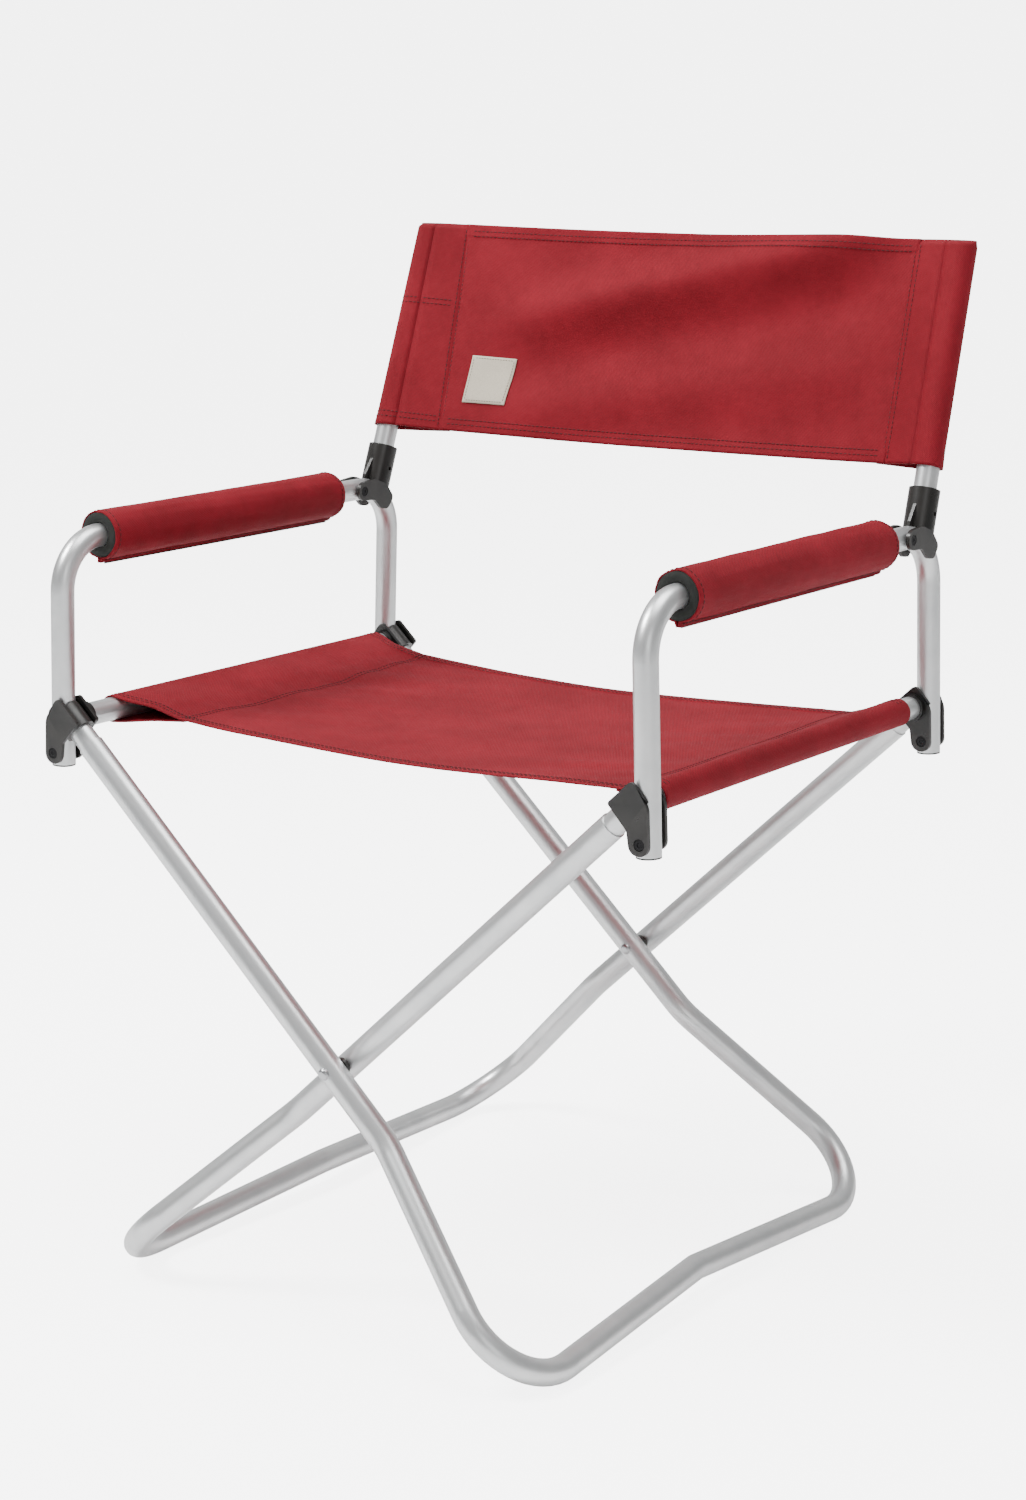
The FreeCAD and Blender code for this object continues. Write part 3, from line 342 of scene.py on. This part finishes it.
canvas = makeCanvas("red_twill_canvas", canvasLook)
thread = makeThread("dark_red_thread", "4E0810")
labelThread = makeThread("brown_thread", "6B5236")
anodised = makeAnodised("satin_anodised_aluminium", tubeLook)
plastic = makePlastic("black_moulded_plastic", plasticLook)
brightSteel = makeSteel("bright_rivet_steel", "B9BABC", 0.28)
darkSteel = makeSteel("blackened_steel", "2A2A2B", 0.38)
foamSkin = makeFoamLook("black_closed_cell_foam")
tapeLook = makeThread("black_hook_tape", "1C1C1C")
labelCloth = makeLabelLook("cream_woven_label")
slotLooks = {
    "anodised_tube": anodised, "black_plastic": plastic, "bright_steel": brightSteel,
    "dark_steel": darkSteel, "black_foam": foamSkin, "black_tape": tapeLook,
    "woven_label": labelCloth, "red_canvas": canvas,
}
slotOf = {part["node"]: part["material_slot"] for part in frame["record"]["subparts"]}
for node, item in frame["nodes"].items():
    item.data.materials.clear()
    item.data.materials.append(slotLooks[slotOf[node]])
print("materials done")


def smooth(value):
    value = min(1.0, max(0.0, value))
    return value * value * (3 - 2 * value)


def spread(low, high, count):
    return [low + (high - low) * index / (count - 1) for index in range(count)]


def linkMesh(name, mesh, material):
    item = bpy.data.objects.new(name, mesh)
    bpy.context.scene.collection.objects.link(item)
    mesh.materials.append(material)
    for face in mesh.polygons:
        face.use_smooth = True
    return item


# A grid of pointAt(u, v), with u and v in metres along the cloth kept as its UV map.
def clothFrom(name, pointAt, across, along, material, thickness):
    mesh = bpy.data.meshes.new(name)
    rows = len(along)
    points = [pointAt(u, v) for u in across for v in along]
    faces = []
    for column in range(len(across) - 1):
        for row in range(rows - 1):
            corner = column * rows + row
            faces.append((corner, corner + rows, corner + rows + 1, corner + 1))
    mesh.from_pydata(points, [], faces)
    layer = mesh.uv_layers.new(name="cloth")
    for loop in mesh.loops:
        column, row = divmod(loop.vertex_index, rows)
        layer.data[loop.index].uv = (across[column], along[row])
    item = linkMesh(name, mesh, material)
    shell = item.modifiers.new("thickness", "SOLIDIFY")
    shell.thickness = thickness
    shell.offset = 0.0
    shell.use_rim = True
    return item


def normalAt(pointAt, u, v, step=0.0008):
    du = pointAt(u + step, v) - pointAt(u - step, v)
    dv = pointAt(u, v + step) - pointAt(u, v - step)
    return du.cross(dv).normalized()


stitchLook = {"length": 0.0031, "pitch": 0.0040, "radius": 0.00032, "sides": 6}
# Each ring of a stitch: its share of the length, its height and its width in thread radii.
stitchRings = ((0.0, -0.4, 0.55), (0.15, 0.5, 1.0), (0.5, 0.8, 1.05), (0.85, 0.5, 1.0), (1.0, -0.4, 0.55))


# One stitch: a thread that rises from the cloth, runs along it and dips back in.
def addStitch(bm, start, end, normal, look):
    along = (end - start).normalized()
    side = along.cross(normal).normalized()
    rings = []
    sides = look["sides"]
    for share, lift, size in stitchRings:
        middle = start.lerp(end, share) + normal * (lift * look["radius"])
        ring = []
        for index in range(sides):
            angle = 2 * math.pi * index / sides
            reach = side * math.cos(angle) + normal * math.sin(angle)
            ring.append(bm.verts.new(middle + reach * look["radius"] * size))
        rings.append(ring)
    for first, second in zip(rings, rings[1:]):
        for index in range(sides):
            following = (index + 1) % sides
            bm.faces.new((first[index], first[following], second[following], second[index]))
    bm.faces.new(list(reversed(rings[0])))
    bm.faces.new(rings[-1])


# Stitches along a line of (u, v) cloth places; face is 1 or -1, the side they show on.
def stitchAlong(bm, pointAt, path, face, lift, look=stitchLook):
    points = [pointAt(u, v) for u, v in path]
    lengths = [0.0]
    for first, second in zip(points, points[1:]):
        lengths.append(lengths[-1] + (second - first).length)

    def placeAt(distance):
        index = 0
        while index < len(lengths) - 2 and lengths[index + 1] < distance:
            index += 1
        share = (distance - lengths[index]) / max(1e-9, lengths[index + 1] - lengths[index])
        u = path[index][0] + (path[index + 1][0] - path[index][0]) * share
        v = path[index][1] + (path[index + 1][1] - path[index][1]) * share
        return u, v

    distance = look["pitch"] * 0.5
    while distance + look["length"] < lengths[-1]:
        ends = []
        for place in (placeAt(distance), placeAt(distance + look["length"])):
            normal = normalAt(pointAt, *place) * face
            ends.append((pointAt(*place) + normal * lift, normal))
        addStitch(bm, ends[0][0], ends[1][0], ends[0][1], look)
        distance += look["pitch"]


def finishStitches(name, bm, material):
    mesh = bpy.data.meshes.new(name)
    bm.to_mesh(mesh)
    bm.free()
    return linkMesh(name, mesh, material)


def lineOf(first, second, count=24):
    return [
        (first[0] + (second[0] - first[0]) * share, first[1] + (second[1] - first[1]) * share)
        for share in spread(0.0, 1.0, count)
    ]


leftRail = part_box("seat_rail_left")
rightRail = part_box("seat_rail_right")
seat = {
    "railX": (rightRail[0][0] + rightRail[1][0]) / 2,
    "railZ": (rightRail[0][2] + rightRail[1][2]) / 2,
    "wrap": (rightRail[1][2] - rightRail[0][2]) / 2 + 0.0012,
    "seamIn": {"left": 0.060, "right": 0.034}, "seamDrop": 0.004, "sag": 0.008,
    "frontLeft": -0.171, "frontRight": -0.1745, "rearLeft": 0.172, "rearRight": 0.182,
    "cutBack": 0.012, "cloth": 0.0012, "hem": 0.0115, "blend": 0.20,
}


# Half a section of the seat sling: under layer, round the rail and back to the seam, at +X.
def seatHalf(seamIn):
    radius = seat["wrap"]
    half = []
    seam = Vector((seat["railX"] - seamIn, -seat["seamDrop"] * seamIn / 0.06))
    lean = math.atan2(radius + seam.y, seamIn) * 0.9
    low = Vector((seat["railX"] - radius * math.sin(lean), -radius * math.cos(lean)))
    for share in spread(0.0, 1.0, 10)[:-1]:
        half.append((seam + Vector((-0.006, -0.0016))).lerp(low, share))
    for angle in spread(-math.pi / 2 - lean, math.pi / 2 + lean * 1.2, 22):
        half.append(Vector((seat["railX"] + radius * math.cos(angle), radius * math.sin(angle))))
    top = half[-1]
    for share in spread(0.0, 1.0, 12)[1:]:
        half.append(top.lerp(seam, share))
    return half


def seatPath():
    left = [Vector((-point.x, point.y)) for point in seatHalf(seat["seamIn"]["left"])]
    right = seatHalf(seat["seamIn"]["right"])
    start, end = left[-1], right[-1]
    panel = []
    for share in spread(0.0, 1.0, 64)[1:-1]:
        point = start.lerp(end, share)
        point.y -= seat["sag"] * (1 - (2 * share - 1) ** 2)
        panel.append(point)
    return left + panel + list(reversed(right))


seatSection = seatPath()
seatLengths = [0.0]
for first, second in zip(seatSection, seatSection[1:]):
    seatLengths.append(seatLengths[-1] + (second - first).length)
seatSpan = seatLengths[-1]


def sectionAt(lengths, section, u):
    u = min(max(u, 0.0), lengths[-1])
    low, high = 0, len(lengths) - 1
    while high - low > 1:
        middle = (low + high) // 2
        if lengths[middle] <= u:
            low = middle
        else:
            high = middle
    share = (u - lengths[low]) / (lengths[high] - lengths[low])
    return section[low].lerp(section[high], share)


# u across the cloth, v from 0 at the front edge to the seat's depth at the rear.
def seatPoint(u, v):
    flat = sectionAt(seatLengths, seatSection, u)
    share = (flat.x / seat["railX"] + 1) / 2
    front = seat["frontLeft"] + (seat["frontRight"] - seat["frontLeft"]) * share
    rear = seat["rearLeft"] + (seat["rearRight"] - seat["rearLeft"]) * share
    inboard = smooth((seat["railX"] - abs(flat.x)) / 0.036)
    front += seat["cutBack"] * inboard
    rear -= seat["cutBack"] * inboard
    depth = v / seatDepth
    y = front + (rear - front) * depth
    z = seat["railZ"] + flat.y
    panel = smooth((seat["railX"] - 0.016 - abs(flat.x)) / 0.05)
    z += panel * (-0.0035 * math.sin(math.pi * depth) + 0.0015)
    ripple = noise.noise(Vector((flat.x * 7.0 + 3.1, y * 9.0, 0.4)))
    tension = noise.noise(Vector((flat.x * 5.0 + y * 9.0, y * 34.0 - flat.x * 12.0, 7.7)))
    pull = smooth((abs(flat.x) - 0.05) / 0.15) * smooth((0.24 - abs(flat.x)) / 0.04)
    z += panel * (0.0018 * ripple + 0.0021 * tension * pull)
    sleeve = smooth((abs(flat.x) - seat["railX"] + 0.062) / 0.012)
    sleeve *= smooth((seat["railX"] - abs(flat.x)) / 0.02)
    z += sleeve * 0.0012 * math.sin(y * 46 + (1.1 if flat.x < 0 else 2.6)) * (1 if flat.y > 0 else 0.3)
    edge = min(depth, 1 - depth) * seatDepth
    if edge < seat["hem"]:
        z += panel * 0.0005
    return Vector((flat.x, y, z))


seatDepth = 0.345
halfCount = len(seatHalf(seat["seamIn"]["left"]))
seatSeams = (seatLengths[halfCount - 1], seatSpan - seatLengths[-halfCount])
alongSeat = (
    spread(0.0, seat["hem"], 5) + spread(seat["hem"] + 0.0004, seatDepth - seat["hem"] - 0.0004, 84)
    + spread(seatDepth - seat["hem"], seatDepth, 5)
)
seatCloth = clothFrom("seat_sling_cloth", seatPoint, seatLengths, alongSeat, canvas, seat["cloth"])
bm = bmesh.new()
lift = seat["cloth"] / 2
for offset in (0.0, 0.0045):
    for seam in (seatSeams[0] + offset, seatSpan - seatSeams[1] - offset):
        stitchAlong(bm, seatPoint, lineOf((seam, 0.002), (seam, seatDepth - 0.002)), 1, lift)
        stitchAlong(bm, seatPoint, lineOf((seam, 0.002), (seam, seatDepth - 0.002)), -1, lift)
    for edge in (seat["hem"] - 0.001 - offset, seatDepth - seat["hem"] + 0.001 + offset):
        line = lineOf((0.066, edge), (seatSpan - 0.066, edge), 120)
        stitchAlong(bm, seatPoint, line, 1, lift)
        stitchAlong(bm, seatPoint, line, -1, lift)
seatStitches = finishStitches("seat_sling_stitches", bm, thread)
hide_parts("seat_sling")
for piece in (seatCloth, seatStitches):
    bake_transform(piece)
print("seat done")


back = {
    "lean": math.radians(19.0), "inward": math.radians(1.8), "postBack": 0.0279,
    "foot": 0.064, "height": 0.184, "wrap": 0.0105, "cloth": 0.0012,
    "seamLeft": 0.060, "seamTop": 0.043, "seamRight": 0.041, "bow": 0.009, "hem": 0.0115,
    "capTop": 0.179, "wrapReach": 0.0152, "gatherFrom": 0.0115, "gathered": 0.105,
    # Each fold: height at the panel's middle, rise per metre across, half width and depth.
    "folds": [
        (0.142, 0.25, 0.022, 0.0105), (0.094, 0.23, 0.025, -0.0065),
        (0.048, 0.16, 0.022, 0.0032), (0.010, 0.10, 0.020, -0.0018),
    ],
}


# A point on a back post's axis, height above the lower edge of the sling.
def postAxis(side, height):
    pivot = Vector(joints[f"back_fold_{side}"]["pos_m"])
    sign = -1 if side == "left" else 1
    up = Vector((0, math.sin(back["lean"]), math.cos(back["lean"])))
    rear = Vector((0, math.cos(back["lean"]), -math.sin(back["lean"])))
    turn = Matrix.Rotation(-sign * back["inward"], 3, "Y")
    return pivot + turn @ (up * (back["foot"] + height) + rear * back["postBack"])


forward = Vector((0, -math.cos(back["lean"]), math.sin(back["lean"])))


# Half a sleeve: rear layer, round the post, front layer; x towards the other post.
def sleeveSection(seam):
    radius = back["wrap"]
    lean = math.atan2(radius, seam) * 0.92
    points = []
    rearSeam = Vector((seam + 0.005, -0.0011))
    rearTangent = Vector((radius * math.sin(lean), -radius * math.cos(lean)))
    for share in spread(0.0, 1.0, 9)[:-1]:
        points.append(rearSeam.lerp(rearTangent, share))
    for angle in spread(-math.pi / 2 + lean, -1.5 * math.pi - lean, 24):
        points.append(Vector((radius * math.cos(angle), radius * math.sin(angle))))
    frontTangent = points[-1]
    for share in spread(0.0, 1.0, 10)[1:]:
        points.append(frontTangent.lerp(Vector((seam, 0.0006)), share))
    return points


# Soft folds of the back panel, rising from left to right.
def foldsAt(x, height):
    value = 0.0
    for centre, slope, width, depth in back["folds"]:
        offset = (height - centre - slope * (x - 0.26)) / width
        value += depth * math.exp(-offset * offset)
    return value


# How far the left seam stands from its post; the cloth is sewn a little askew.
def leftSeam(height):
    return back["seamLeft"] + (back["seamTop"] - back["seamLeft"]) * height / back["height"]


def sleevePoint(side):
    seam = back["seamLeft"] if side == "left" else back["seamRight"]
    section = sleeveSection(seam)
    lengths = [0.0]
    for first, second in zip(section, section[1:]):
        lengths.append(lengths[-1] + (second - first).length)

    def pointAt(u, v):
        flat = sectionAt(lengths, section, u)
        here = postAxis(side, v)
        other = postAxis("right" if side == "left" else "left", v)
        across = (other - here).normalized()
        close = smooth((v - back["capTop"]) / (back["height"] - back["capTop"]))
        depth = flat.y * (1 - 0.93 * close)
        flare = 1 + 0.05 * smooth((0.016 - v) / 0.016)
        crease = noise.noise(Vector((u * 18, v * 9, 2.0 if side == "left" else 5.0))) * 0.0009
        flatPart = smooth((flat.x - 0.008) / 0.02)
        swell = math.sin(math.pi * min(1.0, max(0.0, flat.x / seam))) * 0.0006
        askew = leftSeam(v) / seam if side == "left" else 1.0
        push = crease * flatPart + (swell if flat.y > 0 else -swell)
        reach = flat.x * (flare if flat.x < 0 else askew)
        return here + across * reach + forward * (depth * flare + push)

    return pointAt, lengths, section


def panelPoint(u, v):
    left = postAxis("left", v)
    right = postAxis("right", v)
    across = (right - left).normalized()
    width = (right - left).length
    seam = leftSeam(v)
    start, end = seam - 0.0045, width - back["seamRight"] + 0.0045
    x = start + (end - start) * u / panelSpan
    share = (x - seam) / (width - seam - back["seamRight"])
    share = min(1.0, max(0.0, share))
    tension = math.sin(math.pi * share) ** 0.8
    depth = -back["bow"] * tension * (0.75 + 0.25 * math.sin(math.pi * v / back["height"]))
    depth += foldsAt(x, v) * smooth(share / 0.34) * smooth((1 - share) / 0.16)
    edgeHold = smooth(min(v, back["height"] - v) / 0.03)
    depth += 0.0009 * noise.noise(Vector((x * 60 + v * 40, v * 22 - x * 9, 3.4))) * edgeHold * tension
    depth += 0.0010 * noise.noise(Vector((x * 11, v * 16, 1.3))) * tension
    edge = min(v, back["height"] - v)
    if edge < back["hem"]:
        depth += 0.0005
    return left + across * x + forward * (depth + 0.0012)


panelSpan = 0.4375
alongBack = (
    spread(0.0, back["hem"], 6) + spread(back["hem"] + 0.0004, back["height"] - back["hem"] - 0.0004, 58)
    + spread(back["height"] - back["hem"], back["height"], 10)
)
lift = back["cloth"] / 2


# Cloth between the posts: it hangs on its own post's body, with a mesh of its own.
def gather(piece, side):
    anchor = postAxis(side, back["height"] / 2)
    anchor.x += back["gatherFrom"] * (1 if side == "left" else -1)
    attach(piece, f"back_{side}")
    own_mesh(piece)


backPanel = clothFrom(
    "back_sling_panel", panelPoint, spread(0.0, panelSpan, 130), alongBack, canvas, back["cloth"]
)
bm = bmesh.new()
for offset in (0.0, 0.0045):
    for edge in (back["hem"] - 0.001 - offset, back["height"] - back["hem"] + 0.001 + offset):
        line = lineOf((0.006, edge), (panelSpan - 0.006, edge), 110)
        for face in (1, -1):
            stitchAlong(bm, panelPoint, line, face, lift)
panelStitches = finishStitches("back_panel_stitches", bm, thread)
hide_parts("back_sling")
for piece in (backPanel, panelStitches):
    gather(piece, "left")

for side in ("left", "right"):
    pointAt, lengths, section = sleevePoint(side)
    seamAt = lengths[-1]
    wrapped = [u for u, point in zip(lengths, section) if point.x <= back["wrapReach"]]
    spans = {"rear": (0.0, wrapped[0]), "wrap": (wrapped[0], wrapped[-1]), "front": (wrapped[-1], seamAt)}
    for part, (low, high) in spans.items():
        across = [u for u in lengths if low <= u <= high]
        sleeve = clothFrom(f"back_sleeve_{part}_{side}", pointAt, across, alongBack, canvas, back["cloth"])
        bm = bmesh.new()
        for offset in (0.0015, 0.006):
            seam = {"rear": offset, "front": seamAt - offset}.get(part)
            if seam is not None:
                line = lineOf((seam, 0.002), (seam, back["height"] - 0.002))
                stitchAlong(bm, pointAt, line, 1, lift)
                stitchAlong(bm, pointAt, line, -1, lift)
            end = high - 0.007 if part == "front" else high
            for height in (back["hem"] - 0.0055 + offset, back["height"] - 0.075 + offset):
                if part != "rear":
                    stitchAlong(bm, pointAt, lineOf((low, height), (end, height), 30), 1, lift)
        stitches = finishStitches(f"back_sleeve_stitches_{part}_{side}", bm, thread)
        for piece in (sleeve, stitches):
            if part == "wrap":
                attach(piece, f"back_{side}")
            else:
                gather(piece, side)
print("back done")


label = {"width": 0.043, "height": 0.042, "fromSeam": 0.020, "foot": 0.026, "cloth": 0.0007}


def labelPoint(u, v):
    height = label["foot"] + v
    x = label["fromSeam"] + u + (leftSeam(label["foot"]) - leftSeam(height)) * 1.1
    under = panelPoint(x, height)
    normal = normalAt(panelPoint, x, height)
    if normal.dot(forward) < 0:
        normal = -normal
    inside = smooth(min(u, label["width"] - u) / 0.004) * smooth(min(v, label["height"] - v) / 0.004)
    return under + normal * (0.0013 + 0.0006 * inside)


labelPatch = clothFrom(
    "back_label_patch", labelPoint, spread(0.0, label["width"], 40), spread(0.0, label["height"], 34),
    labelCloth, label["cloth"],
)
bm = bmesh.new()
fineStitch = {"length": 0.0018, "pitch": 0.0026, "radius": 0.00022, "sides": 5}
inset = 0.0022
right, top = label["width"] - inset, label["height"] - inset
corners = [(inset, inset), (right, inset), (right, top), (inset, top)]
for first, second in zip(corners, corners[1:] + corners[:1]):
    stitchAlong(bm, labelPoint, lineOf(first, second), 1, 0.0004, fineStitch)
labelStitches = finishStitches("back_label_stitches", bm, labelThread)
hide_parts("back_label")
for piece in (labelPatch, labelStitches):
    gather(piece, "left")
print("label done")


pad = {
    "start": 0.041, "end": 0.335, "tape": 0.0034, "tube": 0.00945, "foam": 0.018, "cloth": 0.0012,
    "taper": 0.007, "taperDrop": 0.0055, "flap": 0.0036, "seamAngle": math.radians(5),
}


# A point on the armrest's axis, reach behind the front post's axis.
def armAxis(side, reach):
    foot = Vector(joints[f"arm_{side}_tilt"]["pos_m"])
    pivot = Vector(joints[f"back_fold_{side}"]["pos_m"])
    return Vector((pivot.x, foot.y + reach, pivot.z))


# Foam tube: bore, chamfered front face and tapered rear, slightly uneven, as a closed mesh.
def makeFoam(side):
    inner, outer = pad["tube"] + 0.0002, pad["foam"] - 0.0002
    start, end = pad["start"], pad["end"]
    rings = [
        (start + 0.0008, inner), (start, inner + 0.0009), (start - 0.0002, (inner + outer) / 2),
        (start, outer - 0.0010), (start + 0.0010, outer),
    ]
    rings += [(reach, outer) for reach in spread(start + 0.004, end - pad["taper"], 40)]
    rings += [(end - 0.0006, outer - pad["taperDrop"] + 0.0004), (end, outer - pad["taperDrop"] - 0.001)]
    rings += [(end, inner + 0.0006), (end - 0.0006, inner)]
    rings += [(reach, inner) for reach in spread(end - 0.01, start + 0.01, 12)]
    bm = bmesh.new()
    loops = []
    count = 48
    for reach, radius in rings:
        loop = []
        for index in range(count):
            angle = 2 * math.pi * index / count
            spotOn = Vector((math.cos(angle) * 2.5, reach * 60, math.sin(angle) * 2.5))
            rough = 1 + 0.004 * noise.noise(spotOn)
            spot = Vector((math.sin(angle), 0, math.cos(angle))) * (radius * rough)
            loop.append(bm.verts.new(armAxis(side, reach) + spot))
        loops.append(loop)
    for index, loop in enumerate(loops):
        following = loops[(index + 1) % len(loops)]
        for step in range(count):
            ahead = (step + 1) % count
            bm.faces.new((loop[step], loop[ahead], following[ahead], following[step]))
    bmesh.ops.recalc_face_normals(bm, faces=bm.faces)
    mesh = bpy.data.meshes.new(f"arm_foam_pad_{side}")
    bm.to_mesh(mesh)
    bm.free()
    return linkMesh(mesh.name, mesh, foamSkin)


# u runs from one hem under the arm, round the foam and down to the other hem; v backwards.
def coverPoint(side):
    sign = -1 if side == "left" else 1
    radius = pad["foam"] + pad["cloth"] / 2 + 0.0002
    arc = 2 * (math.pi - pad["seamAngle"]) * radius

    def pointAt(u, v):
        reach = pad["start"] + 0.0006 + v
        late = smooth((reach - (pad["end"] - pad["taper"])) / pad["taper"])
        shrink = pad["taperDrop"] * late
        around = u - pad["flap"]
        inset = smooth((0.006 - v) / 0.006) * 0.0004
        wave = noise.noise(Vector((reach * 22, 0.3, 4.0 + sign)))
        if 0 <= around <= arc:
            angle = pad["seamAngle"] + around / radius
            x, z = -math.sin(angle), -math.cos(angle)
            pucker = noise.noise(Vector((angle * 1.6, reach * 26, 8.0 + sign))) * 0.0005
            lines = 0.0004 * noise.noise(Vector((angle * 5.0, reach * 9, 1.0 + sign)))
            size = radius - shrink - inset + pucker + lines
            return armAxis(side, reach) + Vector((x * size, 0, z * size))
        down = -around if around < 0 else around - arc
        first = pad["seamAngle"] if around < 0 else -pad["seamAngle"]
        size = radius - shrink
        x, z = -math.sin(first) * size, -math.cos(first) * size
        pinch = smooth(down / 0.003)
        gap = (0.0011 if around < 0 else -0.0011)
        hang = 0.0008 * smooth(down / pad["flap"]) * (1 + 0.8 * wave) * sign
        return armAxis(side, reach) + Vector((x * (1 - pinch) - gap * pinch + hang, 0, z - down))

    return pointAt, 2 * pad["flap"] + arc


def makeTape(side):
    top = -pad["foam"] - 0.0022

    def pointAt(u, v):
        return armAxis(side, pad["start"] + 0.006 + v) + Vector((0, 0, top - u))

    along = spread(0.0, coverDepth - 0.016, 60)
    across = spread(0.0, pad["tape"], 4)
    return clothFrom(f"arm_cover_tape_strip_{side}", pointAt, across, along, tapeLook, 0.0008)


coverDepth = pad["end"] - pad["start"] - 0.0006
for side in ("left", "right"):
    foam = makeFoam(side)
    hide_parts(f"arm_foam_{side}")
    pointAt, span = coverPoint(side)
    flap = pad["flap"]
    across = spread(0.0, flap, 8) + spread(flap + 0.0005, span - flap - 0.0005, 64)
    across += spread(span - flap, span, 8)
    along = spread(0.0, coverDepth, 110)
    cover = clothFrom(f"arm_cover_cloth_{side}", pointAt, across, along, canvas, pad["cloth"])
    bm = bmesh.new()
    for edge in (0.0022, span - 0.0022):
        line = lineOf((edge, 0.002), (edge, coverDepth - 0.002), 60)
        stitchAlong(bm, pointAt, line, 1, pad["cloth"] / 2)
        stitchAlong(bm, pointAt, line, -1, pad["cloth"] / 2)
    for edge in (0.0045, coverDepth - 0.0095):
        line = lineOf((pad["flap"] + 0.002, edge), (span - pad["flap"] - 0.002, edge), 60)
        stitchAlong(bm, pointAt, line, 1, pad["cloth"] / 2)
        stitchAlong(bm, pointAt, line, -1, pad["cloth"] / 2)
    coverStitches = finishStitches(f"arm_cover_stitches_{side}", bm, thread)
    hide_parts(f"arm_cover_{side}")
    for piece in (foam, cover, coverStitches):
        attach(piece, f"arm_{side}")
    tape = makeTape(side)
    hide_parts(f"arm_cover_tape_{side}")
    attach(tape, f"arm_{side}")
print("pads done")


# White paper that curves up behind the chair, soft boxes and the camera.
stage = {
    "halfWidth": 14.0, "reach": 6.0, "bend": 4.0, "height": 12.0, "turn": math.radians(35.5),
    "paperGlow": 0.25, "paperShown": 5.0, "worldLight": 0.42,
    "lens": 73.17, "sensor": 36.0, "eye": (1.3883, -1.9263, 0.9405),
    "azimuth": math.radians(35.53), "elevation": math.radians(12.58),
}


def addFloor():
    mesh = bpy.data.meshes.new("studio_floor")
    bm = bmesh.new()
    sides = (-stage["halfWidth"], stage["halfWidth"])
    rows = []
    for step in range(25):
        share = step / 24
        if share < 0.6:
            y, z = (share / 0.3 - 1) * stage["reach"], 0.0
        else:
            angle = (share - 0.6) / 0.4 * math.pi / 2
            y = stage["reach"] + stage["bend"] * math.sin(angle)
            z = stage["bend"] * (1 - math.cos(angle))
        rows.append([bm.verts.new((x, y, z)) for x in sides])
    rows.append([bm.verts.new((x, stage["reach"] + stage["bend"], stage["height"])) for x in sides])
    for first, second in zip(rows, rows[1:]):
        bm.faces.new((first[0], first[1], second[1], second[0]))
    bm.to_mesh(mesh)
    bm.free()
    material, tree, shader = newMaterial("white_studio_paper")
    shader.inputs["Base Color"].default_value = (0.93, 0.93, 0.93, 1)
    shader.inputs["Roughness"].default_value = 0.9
    shader.inputs["Specular IOR Level"].default_value = 0.1
    shader.inputs["Emission Color"].default_value = (1, 1, 1, 1)
    seen = addNode(tree, "ShaderNodeLightPath", out="Is Camera Ray")
    glow = addNode(
        tree, "ShaderNodeMapRange", {"To Min": stage["paperGlow"], "To Max": stage["paperShown"]},
        {"Value": seen}
    )
    tree.links.new(glow, shader.inputs["Emission Strength"])
    floor = linkMesh("studio_floor", mesh, material)
    floor.matrix_world = Matrix.Rotation(stage["turn"], 4, "Z")


def addSoftbox(name, place, target, size, power):
    light = bpy.data.lights.new(name, "AREA")
    light.shape = "RECTANGLE"
    light.size, light.size_y = size
    light.energy = power
    item = bpy.data.objects.new(name, light)
    bpy.context.scene.collection.objects.link(item)
    item.location = place
    item.rotation_euler = (Vector(target) - Vector(place)).to_track_quat("-Z", "Y").to_euler()


def addCamera():
    data = bpy.data.cameras.new("studio_camera")
    data.lens = stage["lens"]
    data.sensor_width = stage["sensor"]
    data.clip_end = 60
    camera = bpy.data.objects.new("studio_camera", data)
    bpy.context.scene.collection.objects.link(camera)
    azimuth, elevation = stage["azimuth"], stage["elevation"]
    level = math.cos(elevation)
    away = Vector((math.sin(azimuth) * level, -math.cos(azimuth) * level, math.sin(elevation)))
    camera.location = stage["eye"]
    camera.rotation_euler = (-away).to_track_quat("-Z", "Y").to_euler()
    bpy.context.scene.camera = camera


def addWorld():
    world = bpy.data.worlds.new("studio_light")
    world.use_nodes = True
    shade = world.node_tree.nodes["Background"]
    shade.inputs["Color"].default_value = (1, 1, 1, 1)
    shade.inputs["Strength"].default_value = stage["worldLight"]
    bpy.context.scene.world = world


addFloor()
addWorld()
addSoftbox("key_left", (-1.6, -1.5, 3.2), (0, 0, 0.5), (1.1, 1.1), 150)
addSoftbox("top_fill", (0.5, 0.3, 3.4), (0, 0, 0.4), (2.0, 2.0), 80)
addSoftbox("front_fill", (2.8, -2.4, 1.6), (0, 0, 0.5), (1.6, 2.0), 16)
addCamera()
print("stage done")

bpy.context.view_layer.update()
